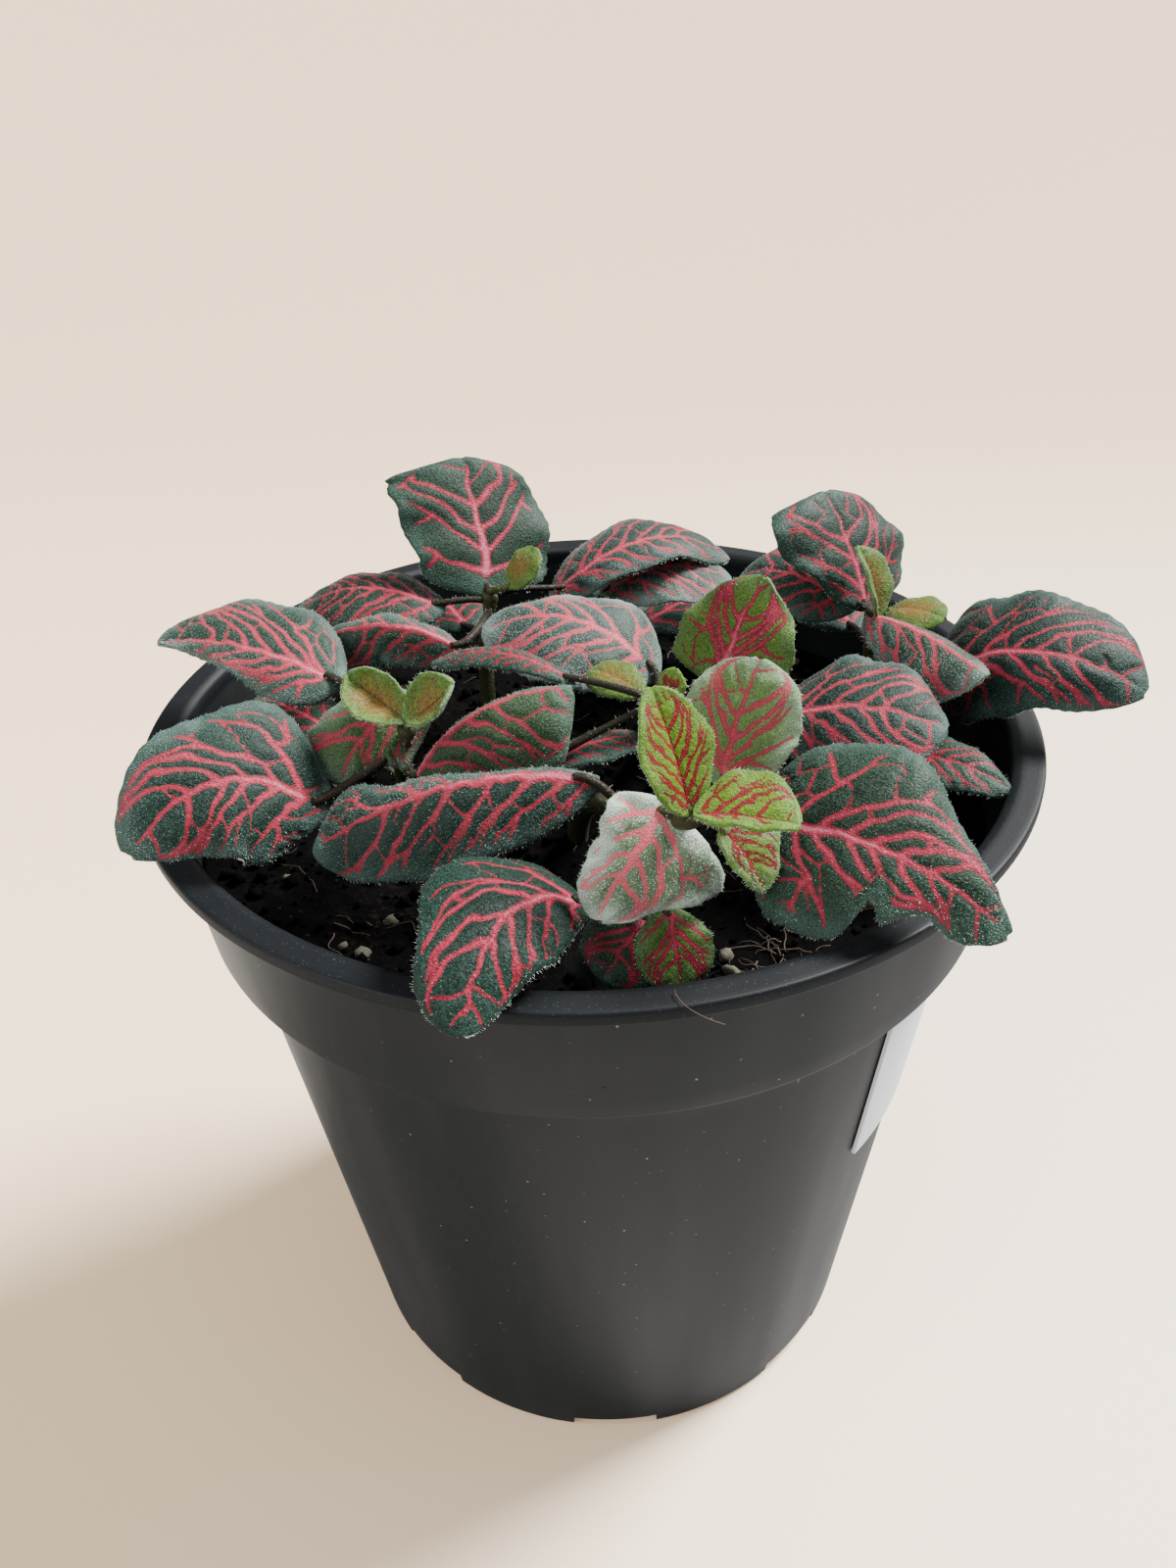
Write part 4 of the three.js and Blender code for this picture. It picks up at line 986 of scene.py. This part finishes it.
def leaf_material():
    """Leaf: dark to fresh green with pink-red veins, a silvery cover of fine hairs that is partly painted
    light, and a green stalk; painted shade darkens the inner blade and the older stalks.
    """
    leaf = Finish("leaf")
    age, stalk, under, fade = [leaf.value(name) for name in ("age", "stalk", "under", "fade")]
    margin, frost = leaf.value("margin"), leaf.value("frost")
    vein = leaf.value("vein") + (leaf.noise(2200, 3) - 0.5) * 0.20
    in_vein = ramp(vein, 0.085, 0.0) * (1.0 - fade)
    clouds, grain = leaf.noise(260, 3), leaf.noise(3400, 2)
    inner, pale_edge = ramp(margin, 1.5, 7.0), ramp(margin, 3.2, 0.2)

    dark = blend(clouds, (0.0030, 0.0142, 0.0090), (0.0084, 0.030, 0.0205))
    # Painted shade: the blade is darker away from its margin, as in the shade of its fold.
    dark = blend(inner * 0.42, dark, (0.0010, 0.0052, 0.0034))
    fresh = blend(clouds, (0.062, 0.130, 0.005), (0.118, 0.212, 0.010))
    blade = blend(age, dark, fresh)
    blade = blend(1.0 - age * 0.6, blade, ramp(grain, 0.35, 0.62, 0.50, 1.5), "MULTIPLY")
    blush = fade * ramp(margin, 0.8, 3.2) * 0.55
    blade = blend(blush, blade, (0.32, 0.095, 0.045))
    colour = blend(in_vein, blade, vein_colour(vein, age, frost))

    fuzz, tone = leaf.specks(4300, 0.90, 0.46)
    fuzz = fuzz * tone
    # The pale cover at the margins and on silvery leaves is partly the hairs' own colour and partly painted
    # light: a painted sheen on the edges and brightening of some leaves. Below zero it gives painted shade.
    bloom_and_painted_light = (pale_edge * 0.16 + frost * (pale_edge * 0.56 + 0.24)) * ramp(clouds, 0.25, 0.75, 0.6, 1.3)
    speckle = fuzz * (0.28 - inner * 0.16 + bloom_and_painted_light) + fuzz * (frost * 0.80)
    cover = (bloom_and_painted_light * 0.50 + speckle) * (1.0 - in_vein * 0.70) * (1.0 - age * 0.45)
    colour = blend(cover, colour, blend(frost, (0.18, 0.31, 0.285), (0.86, 1.0, 0.93)))

    back = blend(clouds, (0.10, 0.17, 0.10), (0.20, 0.27, 0.17))
    back = blend(in_vein * 0.6, back, (0.42, 0.16, 0.14))
    colour = blend(under, colour, back)
    # Painted shade: older stalks and stems are near black so that they sink into the shade; young ones are
    # green.
    shaded_green_stalk = blend(clouds, (0.008, 0.016, 0.006), (0.026, 0.011, 0.009))
    shaded_green_stalk = blend(age, shaded_green_stalk, (0.060, 0.075, 0.022))
    colour = blend(stalk, colour, shaded_green_stalk)
    return leaf.finished(
        Base_Color=colour, Roughness=ramp(grain, 0.3, 0.7, 0.44, 0.60), Specular_IOR_Level=0.16,
        Sheen_Weight=0.08, Sheen_Roughness=0.25, Sheen_Tint=(0.80, 0.95, 0.92, 1.0),
        Normal=bump(grain * 0.5 + fuzz, 0.00026, 0.9))


def hair_material():
    """Leaf hair: pale and slightly glossy."""
    hair = Finish("hair")
    colour = blend(hair.noise(400), (0.50, 0.60, 0.50), (0.80, 0.84, 0.78))
    return hair.finished(Base_Color=colour, Roughness=0.45)


def plastic_material():
    """Black pot plastic: satin, with faint upright streaks, scuffs, light dust specks, small pits and
    slanting scratches, and a darker lip, tinted blue as a painted sky reflection, with a bluish powder on
    it."""
    pot = Finish("black_plastic")
    upright = pot.field("ShaderNodeMapping", "Vector", {"Vector": pot.place, "Scale": (1.0, 1.0, 0.06)})
    slanting = pot.field("ShaderNodeMapping", "Vector", {
        "Vector": pot.place, "Scale": (1.0, 1.0, 0.10), "Rotation": (0.2, 0.35, 0.0)})
    lip = ramp(pot.field("ShaderNodeSeparateXYZ", "Z", {"Vector": pot.place}), 0.1040, 0.1052)
    streaks = pot.noise(320, 3, 0.6, upright)
    bands = ramp(pot.noise(90, 3, 0.5, upright), 0.48, 0.75, 0.0, 0.6)
    scuffs = ramp(pot.noise(45, 4, 0.6), 0.50, 0.75, 0.0, 0.12)
    dust, tone = pot.specks(620, 0.28, 0.12)
    dust = dust * ramp(tone, 0.2, 1.0, 0.1, 0.7)
    pits, _ = pot.specks(250, 0.10, 0.08)
    scratches, _ = pot.specks(330, 0.10, 0.07, slanting)
    powder, _ = pot.specks(2600, 0.35, 0.26)
    base = layered(
        blend(streaks, (0.0095, 0.0108, 0.0116), (0.0130, 0.0145, 0.0153)),
        (bands, (0.0220, 0.0240, 0.0250)),
        (scuffs, (0.030, 0.031, 0.030)),
        (dust, (0.32, 0.30, 0.27)),
        (pits * 0.9, (0.0010, 0.0010, 0.0010)),
        (scratches * 0.7, (0.20, 0.20, 0.19)),
        # Painted reflection: the lip's blue tint stands for the sky reflected on its top.
        (lip * 0.85, (0.0020, 0.0034, 0.0052)),
        (powder * (lip * 0.32), (0.060, 0.082, 0.100)))
    roughness = ramp(pot.noise(60, 3, 0.5, upright), 0.3, 0.7, 0.34, 0.46) + lip * 0.12
    return pot.finished(
        Base_Color=base, Roughness=roughness, Specular_IOR_Level=0.19,
        Normal=bump(pot.noise(5200, 2) + dust, 0.00003, 0.5))


def soil_material():
    """Damp peat: nearly black, with dry brown patches and paler mineral grains."""
    peat = Finish("peat")
    patches = ramp(peat.noise(700, 5, 0.7), 0.40, 0.75)
    dry = ramp(peat.noise(60, 3), 0.5, 0.7) * ramp(peat.noise(1500, 3), 0.5, 0.7)
    grains, tone = peat.specks(1100, 0.10, 0.28)
    base = blend(patches, (0.0008, 0.0008, 0.0009), (0.0030, 0.0025, 0.0024))
    base = layered(base, (dry, (0.016, 0.0105, 0.0078)), (grains * tone, (0.022, 0.018, 0.015)))
    relief = bump(peat.noise(1600, 5, 0.7), 0.0003, 0.8)
    return peat.finished(Base_Color=base, Roughness=0.9, Specular_IOR_Level=0.04, Normal=relief)


def grainy_material(name, low, high, scale, roughness, relief=0.0):
    """A finish of two near colours mixed by noise, with an even fine relief of the same grain where a
    relief is given.
    """
    finish = Finish(name)
    grain = finish.noise(scale, 4, 0.6)
    inputs = {"Normal": bump(grain, relief, 0.6)} if relief else {}
    return finish.finished(Base_Color=blend(grain, low, high), Roughness=roughness, **inputs)


# Pot, soil and label

def arc(r, z, radius, start, end, steps):
    """Points of an arc about (r, z), angles in degrees."""
    angle = np.radians(np.linspace(start, end, steps))
    return np.stack([r + radius * np.cos(angle), z + radius * np.sin(angle)], -1)


def line(r0, z0, r1, z1, steps):
    """Points of a straight stretch without its ends."""
    t = np.linspace(0, 1, steps + 2)[1:-1, None]
    return np.array([[r0, z0]]) * (1 - t) + np.array([[r1, z1]]) * t


def pot_profile():
    """The pot's section as radius and height: outside from the axis to the rim, then inside back."""
    foot = FOOT_BEVEL
    lip_bottom = POT_HEIGHT - LIP_HEIGHT
    collar_bottom = POT_HEIGHT - COLLAR_HEIGHT
    step_under = collar_bottom - COLLAR_ROUND
    neck = COLLAR_TOP_RADIUS - WALL
    collar_inside = [COLLAR_BOTTOM_RADIUS - WALL, collar_bottom + WALL]
    body_inside = [BODY_TOP_RADIUS - WALL, step_under - WALL]
    floor_edge = [BASE_RADIUS - WALL, FLOOR]
    outside = [
        [[0.001, 0.0]], line(0, 0, BASE_RADIUS - foot, 0, 8),
        arc(BASE_RADIUS - foot, foot, foot, -90, -6, 6),
        line(BASE_RADIUS, foot, BODY_TOP_RADIUS, step_under - 1, 14),
        arc(BODY_TOP_RADIUS + STEP_ROUND, step_under - STEP_ROUND, STEP_ROUND, 174, 90, 4),
        arc(COLLAR_BOTTOM_RADIUS - COLLAR_ROUND, collar_bottom, COLLAR_ROUND, -90, 0, 4),
        line(COLLAR_BOTTOM_RADIUS, collar_bottom, COLLAR_TOP_RADIUS, lip_bottom - NECK_ROUND, 6),
        arc(COLLAR_TOP_RADIUS + NECK_ROUND, lip_bottom - NECK_ROUND, NECK_ROUND, 176, 90, 4),
        arc(RIM_RADIUS - LIP_LOW_ROUND, lip_bottom + LIP_LOW_ROUND, LIP_LOW_ROUND, -90, 0, 4),
        arc(RIM_RADIUS - LIP_ROUND, POT_HEIGHT - LIP_ROUND, LIP_ROUND, 0, 90, 5),
    ]
    inside = [
        line(RIM_RADIUS - LIP_ROUND, POT_HEIGHT, RIM_INNER_RADIUS, POT_HEIGHT, 3),
        [[RIM_INNER_RADIUS, POT_HEIGHT], [RIM_INNER_RADIUS - 0.25, POT_HEIGHT - 0.05]],
        [[neck + 0.4, POT_HEIGHT - 0.45], [neck + 0.1, POT_HEIGHT - 0.9], [neck, lip_bottom]],
        line(neck, lip_bottom, *collar_inside, 5), [collar_inside, body_inside],
        line(*body_inside, *floor_edge, 10), [floor_edge], line(*floor_edge, 0, FLOOR, 6), [[0.001, FLOOR]],
    ]
    return np.concatenate([np.asarray(part, float) for part in outside + inside])


BOX_QUADS = [[0, 2, 3, 1], [4, 5, 7, 6], [0, 1, 5, 4], [2, 6, 7, 3], [0, 4, 6, 2], [1, 3, 7, 5]]


def box_points(centre, size, turn):
    """The eight corners of a box, turned about the pot's axis."""
    corners = np.array([[x, y, z] for z in (-1, 1) for y in (-1, 1) for x in (-1, 1)])
    x, y, z = (corners * np.array(size) / 2 + centre).T
    c, s = np.cos(turn), np.sin(turn)
    return np.stack([x * c - y * s, x * s + y * c, z], -1)


def make_cutters(material):
    """The notches at the pot's foot and its drainage holes, as one solid to cut away."""
    cutters = Shells()
    for k in range(NOTCH_COUNT):
        turn = 2 * np.pi * k / NOTCH_COUNT
        size = [2 * NOTCH_DEPTH, NOTCH_LENGTH, 2 * NOTCH_HEIGHT]
        cutters.add(box_points([BASE_RADIUS, 0, 0], size, turn), BOX_QUADS)
    for k in range(HOLE_COUNT):
        turn = 2 * np.pi * (k + 0.5) / HOLE_COUNT
        path = round_points(HOLE_RING_RADIUS, turn, 0) + np.array([[0, 0, -3.0], [0, 0, 4.0]])
        add_tube(cutters, path, [HOLE_RADIUS, HOLE_RADIUS], 32)
    return cutters.piece("pot_cutters", material)


def make_pot(material):
    """The pot: a shell turned from its section, with its notches and holes cut away."""
    profile = pot_profile()
    pot = Shells()
    rings = round_points(profile[:, :1], full_turn(POT_SIDES), profile[:, 1:])
    pot.add_rings(rings, [0, 0, 0], [0, 0, FLOOR])
    body = pot.piece("pot_shell", material)
    tool = make_cutters(material)
    cut = body.modifiers.new("cut", "BOOLEAN")
    cut.operation, cut.solver, cut.object = "DIFFERENCE", "MANIFOLD", tool
    made = bpy.data.meshes.new_from_object(body.evaluated_get(bpy.context.evaluated_depsgraph_get()))
    body.modifiers.clear()
    body.data = made
    made.polygons.foreach_set("use_smooth", np.full(len(made.polygons), True))
    made.set_sharp_from_angle(angle=np.radians(35))
    bpy.data.objects.remove(tool)
    return body


def soil_height(x, y):
    """Height of the soil: a low mound with lumps and crumbs, level at the wall."""
    share = np.hypot(x, y) / BODY_TOP_RADIUS
    inside = np.clip(1 - share**6, 0, 1)
    lumps = 0.5 * np.sin(x / 5.3 + 1) * np.cos(y / 6.1) + 0.3 * np.sin(x / 2.9 - y / 3.7)
    crumbs = 0
    for size, height, seed in ((1.9, 0.35, 5), (0.9, 0.16, 6), (0.45, 0.09, 7)):
        crumbs = crumbs + height * lattice_noise(x / size, y / size, 0 * x, seed)
    mound = SOIL_LEVEL + SOIL_MOUND * (1 - share**2)
    return mound + lumps * np.clip(1 - share**4, 0, 1) + crumbs * (0.4 + 0.6 * inside)


def soil_height_at(x, y):
    """Height of the soil at one place."""
    return float(soil_height(np.array(float(x)), np.array(float(y))))


def inside_radius(z):
    """Radius of the soil at a height: the pot's inside less the seat gap."""
    collar_bottom = POT_HEIGHT - COLLAR_HEIGHT
    heights = [FLOOR, collar_bottom - COLLAR_ROUND - WALL, collar_bottom + WALL, POT_HEIGHT - LIP_HEIGHT]
    radii = [BASE_RADIUS, BODY_TOP_RADIUS, COLLAR_BOTTOM_RADIUS, COLLAR_TOP_RADIUS]
    return np.interp(z, heights, radii) - WALL - SEAT_GAP


def make_soil(material):
    """The soil: a crumbly top, as rings of points at soil_height, over a plug that fills the pot."""
    angle = full_turn(SOIL_SIDES)
    top = inside_radius(SOIL_LEVEL) * np.linspace(1, SOIL_RINGS, SOIL_RINGS) / SOIL_RINGS
    x, y = top[:, None] * np.cos(angle), top[:, None] * np.sin(angle)
    collar_bottom, floor = POT_HEIGHT - COLLAR_HEIGHT, FLOOR + SEAT_GAP + 0.5
    below = (collar_bottom + WALL + SEAT_GAP, collar_bottom - WALL - COLLAR_ROUND + SEAT_GAP, floor)
    plug = [round_points(inside_radius(z - SEAT_GAP), angle, z)[None] for z in below]
    rings = np.concatenate([np.stack([x, y, soil_height(x, y)], -1), *plug])
    soil = Shells()
    soil.add_rings(rings, [0, 0, soil_height_at(0, 0)], [0, 0, floor], back=True)
    return soil.piece("soil_plug", material)


def lump(rng, size, rows, sides, roughness=0.25):
    """A small rough lump: a ball of rows by sides points, pushed in and out by random amounts. Its
    last two points are its poles."""
    polar = np.linspace(0, np.pi, rows + 2)[1:-1, None]
    angle = full_turn(sides)
    r = 1 + rng.uniform(-roughness, roughness, (rows, sides))
    ball = np.stack([r * np.sin(polar) * np.cos(angle), r * np.sin(polar) * np.sin(angle),
                     r * np.cos(polar)], -1).reshape(-1, 3)
    points = np.concatenate([ball, [[0, 0, 1.0]], [[0, 0, -1.0]]]) * rng.uniform(0.6, 1.2, 3) * size
    turn = np.linalg.qr(rng.normal(0, 1, (3, 3)))[0]
    turn = turn * np.sign(np.linalg.det(turn))
    return points @ turn.T


def scatter_lumps(name, material, places, sizes, seed, rows=3, sides=7, sink=0.3):
    """Lumps lying in the soil at the given places, each sunk by a share of its size."""
    rng = np.random.default_rng(seed)
    shells = Shells()
    for (x, y), size in zip(places, sizes):
        z = soil_height_at(x, y) + size * (1 - 2 * sink)
        points = lump(rng, size, rows, sides) + [x, y, z]
        shells.add_rings(points[:-2].reshape(rows, sides, 3), points[-2], points[-1], back=True)
    return shells.piece(name, material)


def random_places(rng, count, reach):
    """Places spread evenly over a disc."""
    r = reach * np.sqrt(rng.uniform(0, 1, count))
    angle = rng.uniform(0, 2 * np.pi, count)
    return np.stack([r * np.cos(angle), r * np.sin(angle)], -1)


def make_crumbs(material):
    """Loose peat crumbs, most of them small."""
    rng = np.random.default_rng(11)
    places = random_places(rng, CRUMB_COUNT, CRUMB_REACH)
    sizes = 0.28 + 0.8 * rng.uniform(0, 1, CRUMB_COUNT)**3
    return scatter_lumps("peat_crumbs", material, places, sizes, 12)


def make_roots(material):
    """Fine dry roots lying on the soil as thin bent threads, with a crowd of them at the front right,
    and one fibre that hangs over the rim."""
    rng = np.random.default_rng(31)
    shells = Shells()
    crowd = rng.normal(CROWD_PLACE, CROWD_SPREAD, (CROWD_COUNT, 2))
    for x, y in np.concatenate([random_places(rng, ROOT_COUNT, ROOT_REACH), crowd]):
        heading = rng.uniform(0, 2 * np.pi)
        turns = np.cumsum(rng.normal(0, 0.35, ROOT_POINTS)) + heading
        steps = rng.uniform(0.4, 0.8) * np.stack([np.cos(turns), np.sin(turns)], -1)
        places = np.array([x, y]) + np.cumsum(steps, 0)
        if np.hypot(*places.T).max() >= ROOT_LIMIT:
            continue
        arches = np.abs(np.sin(np.linspace(0, np.pi * rng.uniform(1, 2.5), ROOT_POINTS)))
        z = soil_height(*places.T) + 0.1 + 0.35 * arches
        path = np.concatenate([places, z[:, None]], 1)
        add_tube(shells, path, np.linspace(rng.uniform(0.05, 0.12), 0.035, ROOT_POINTS), 5)
    t = np.linspace(0, 1, ROOT_POINTS)
    x, y, z = 7.4 + 4.6 * t**1.5, -57.4 - 3.6 * np.sin(1.5 * t**0.8), POT_HEIGHT + 0.4 - 1.4 * t**2
    add_tube(shells, np.stack([x, y, z], -1), np.full(ROOT_POINTS, 0.055), 5)
    return shells.piece("root_threads", material)


def wall_radius(z):
    """Outside radius of the pot's tapered body at a height."""
    return np.interp(z, [FOOT_BEVEL, POT_HEIGHT - COLLAR_HEIGHT], [BASE_RADIUS, BODY_TOP_RADIUS])


def make_label(material):
    """The blank label: a thin curved plate just off the pot's tapered side."""
    rows, columns = 12, 24
    half = LABEL_WIDTH / wall_radius(LABEL_HIGH) / 2
    angle = np.radians(LABEL_ANGLE) + half * np.linspace(-1, 1, columns)
    z = np.linspace(LABEL_LOW, LABEL_HIGH, rows)[:, None]
    faces = [round_points(wall_radius(z) + off, angle, z) for off in (SEAT_GAP + LABEL_THICKNESS, SEAT_GAP)]
    quads = grid_quads(rows, columns)
    count = rows * columns
    ring = edge_ring(rows, columns)
    after = np.roll(ring, -1)
    edge = np.stack([ring, count + ring, count + after, after], -1)
    label = Shells()
    label.add(np.concatenate(faces), np.concatenate([quads, quads[:, ::-1] + count, edge]))
    return label.piece("blank_label", material, sharp_angle=30)


# Stage

def looking(place, forward, up):
    """A matrix at a place, looking forward along -Z with Y up."""
    turn = np.stack([np.cross(forward, up), up, -forward], 1)
    return Matrix.Translation(np.array(place) * MM) @ Matrix(turn.tolist()).to_4x4()


def aim(place, target):
    """A matrix at a place, looking at a target."""
    forward = unit(np.array(target, float) - np.array(place, float))
    right = unit(np.cross(forward, [0, 0, 1]))
    return looking(place, forward, np.cross(right, forward))


def make_camera():
    """The camera at the photo's place and angle."""
    data = bpy.data.cameras.new("camera")
    data.sensor_width, data.sensor_fit = SENSOR_MM, "AUTO"
    data.lens = FOCAL_PIXELS / LONG_SIDE_PIXELS * SENSOR_MM
    data.clip_start, data.clip_end = 0.005, 20
    camera = add_object("camera", data)
    forward, up = unit(np.array(CAMERA_FORWARD)), np.array(CAMERA_UP)
    camera.matrix_world = looking(CAMERA_PLACE, forward, unit(up - forward * (up @ forward)))
    bpy.context.scene.camera = camera


def make_lights():
    """A broad sun behind on the right, a weak soft light at the front left and one overhead."""
    sun = bpy.data.lights.new("daylight", "SUN")
    sun.energy, sun.angle, sun.color = SUN_POWER, np.radians(SUN_DEGREES), (1.0, 0.98, 0.95)
    add_object("daylight", sun).matrix_world = aim(SUN_PLACE, (0, 0, 0))
    panels = [
        ("fill", (-520, -350, 420), (0, 0, 80), (500, 400), 3.4, (1.0, 0.98, 0.95)),
        ("top", (40, -120, 800), (0, 0, 90), (350, 350), 1.2, (1.0, 1.0, 1.0)),
    ]
    for name, place, target, (wide, deep), power, colour in panels:
        data = bpy.data.lights.new(name, "AREA")
        data.shape, data.size, data.size_y = "RECTANGLE", wide * MM, deep * MM
        data.energy, data.color = power, colour
        add_object(name, data).matrix_world = aim(place, target)


def make_sky():
    """An even pale light all round, with a warm wall where the camera looks past the floor."""
    world = bpy.data.worlds.new("sky")
    bpy.context.scene.world = world
    world.use_nodes = True
    tree = world.node_tree
    light = tree.nodes["Background"]
    light.inputs["Color"].default_value = (0.92, 0.95, 0.98, 1.0)
    light.inputs["Strength"].default_value = 0.40
    wall = add_node(tree, "ShaderNodeBackground", {"Color": (0.95, 0.85, 0.76, 1.0), "Strength": 2.3})
    seen = Field(add_node(tree, "ShaderNodeLightPath").outputs["Is Camera Ray"])
    inputs = {0: seen, 1: Field(light.outputs[0]), 2: Field(wall.outputs[0])}
    mixed = add_node(tree, "ShaderNodeMixShader", inputs)
    tree.links.new(mixed.outputs[0], tree.nodes["World Output"].inputs["Surface"])


def floor_material():
    """Floor: a pale warm matt surface with painted light and shade: whiter on the lit right, warmer and
    darker on the left, and a warm glow that only the camera sees. It sends less light to the pot than to
    the camera, so that the black plastic stays dark."""
    floor = Finish("floor")
    seen = floor.field("ShaderNodeLightPath", "Is Camera Ray")
    far = ramp(floor.field("ShaderNodeSeparateXYZ", "Y", {"Vector": floor.place}), 0.03, 0.55)
    # Painted light and shade: whiter on the right, where the sun falls, and warmer and darker on the left.
    right = ramp(floor.field("ShaderNodeSeparateXYZ", "X", {"Vector": floor.place}), -0.16, 0.12)
    pale = blend(right, (0.89, 0.68, 0.465), (0.985, 0.85, 0.68))
    pale = blend(far, pale, (0.70, 0.52, 0.36))
    dim = blend(right, (0.44, 0.41, 0.37), (0.345, 0.34, 0.34))
    # Painted light: a warm glow that only the camera sees.
    painted_glow = blend(seen, (0.0, 0.0, 0.0), (1.0, 0.62, 0.30))
    return floor.finished(
        Base_Color=blend(seen, dim, pale), Roughness=0.8, Specular_IOR_Level=0.1,
        Emission_Color=painted_glow, Emission_Strength=0.25)


def make_floor():
    """The floor: rings of points, level near the pot and rising gently far off."""
    reach = np.array([0.01, 600, 1500, 2500, 4000, 7000, 15000, 40000.0])[:, None]
    height = 0.07 * np.maximum(reach - 1500, 0)**2 / (reach + 1500)
    rings = round_points(reach, full_turn(96), height)
    floor = Shells()
    floor.add(rings, grid_quads(*rings.shape[:2], around=True)[:, ::-1])
    floor.piece("floor", floor_material())


# The scene

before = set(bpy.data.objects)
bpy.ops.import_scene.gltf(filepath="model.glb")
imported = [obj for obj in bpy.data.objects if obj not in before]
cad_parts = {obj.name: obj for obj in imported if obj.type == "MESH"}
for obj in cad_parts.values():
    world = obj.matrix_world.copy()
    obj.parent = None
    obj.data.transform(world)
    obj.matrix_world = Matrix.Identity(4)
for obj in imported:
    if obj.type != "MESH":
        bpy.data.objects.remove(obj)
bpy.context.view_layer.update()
make_camera()
SPECKS = make_specks_group()


def place_piece(piece, slot, *nodes):
    """A finished piece rides on the one body, and the solids it stands for are hidden. Its slot is not
    used.
    """
    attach(piece, "root")
    if nodes:
        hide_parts(*nodes)


leaf_finish, hair_finish = leaf_material(), hair_material()
plastic, peat = plastic_material(), soil_material()
paper = grainy_material("paper", (0.86, 0.87, 0.89), (0.91, 0.92, 0.94), 900, 0.75, 0.00004)
# Painted shade: the white perlite is dimmed to a dark grey-yellow, as if in the leaves' shade.
shaded_perlite = grainy_material("shaded_perlite", (0.032, 0.031, 0.020), (0.095, 0.088, 0.058), 1200, 0.85, 0.0003)
root_finish = grainy_material("root", (0.018, 0.012, 0.008), (0.085, 0.055, 0.038), 700, 0.8)

place_piece(make_pot(plastic), "pot_plastic", "pot")
place_piece(make_soil(peat), "soil", "soil")
place_piece(make_crumbs(peat), "soil")
grain_places = [(x, y) for x, y, _ in PERLITE_GRAINS]
grain_sizes = [size for _, _, size in PERLITE_GRAINS]
place_piece(scatter_lumps("perlite_grains", shaded_perlite, grain_places, grain_sizes, 13, 5, 8, 0.42), "soil")
place_piece(make_roots(root_finish), "soil")
place_piece(make_label(paper), "label_paper", "label")

for shoot_index, (shoot_name, shoot) in enumerate(SHOOTS.items()):
    body = Shells("vein", "margin", "age", "under", "stalk", "frost", "fade")
    hairs = Shells()
    leaves = []
    for i, row in enumerate(shoot["leaves"]):
        fade = FADE if (shoot_name, row[0]) in FADED else 0.0
        leaves.append(Leaf(row, i, 100 * shoot_index + i, fade))
        add_blade(body, leaves[-1])
        add_leaf_hairs(hairs, leaves[-1])
    add_stalks(body, hairs, shoot, leaves)
    place_piece(body.piece(f"{shoot_name}_shoot", leaf_finish), "leaf", f"shoot_{shoot_name}")
    place_piece(hairs.piece(f"{shoot_name}_hairs", hair_finish, smooth=False), "leaf")

make_floor()
make_sky()
make_lights()
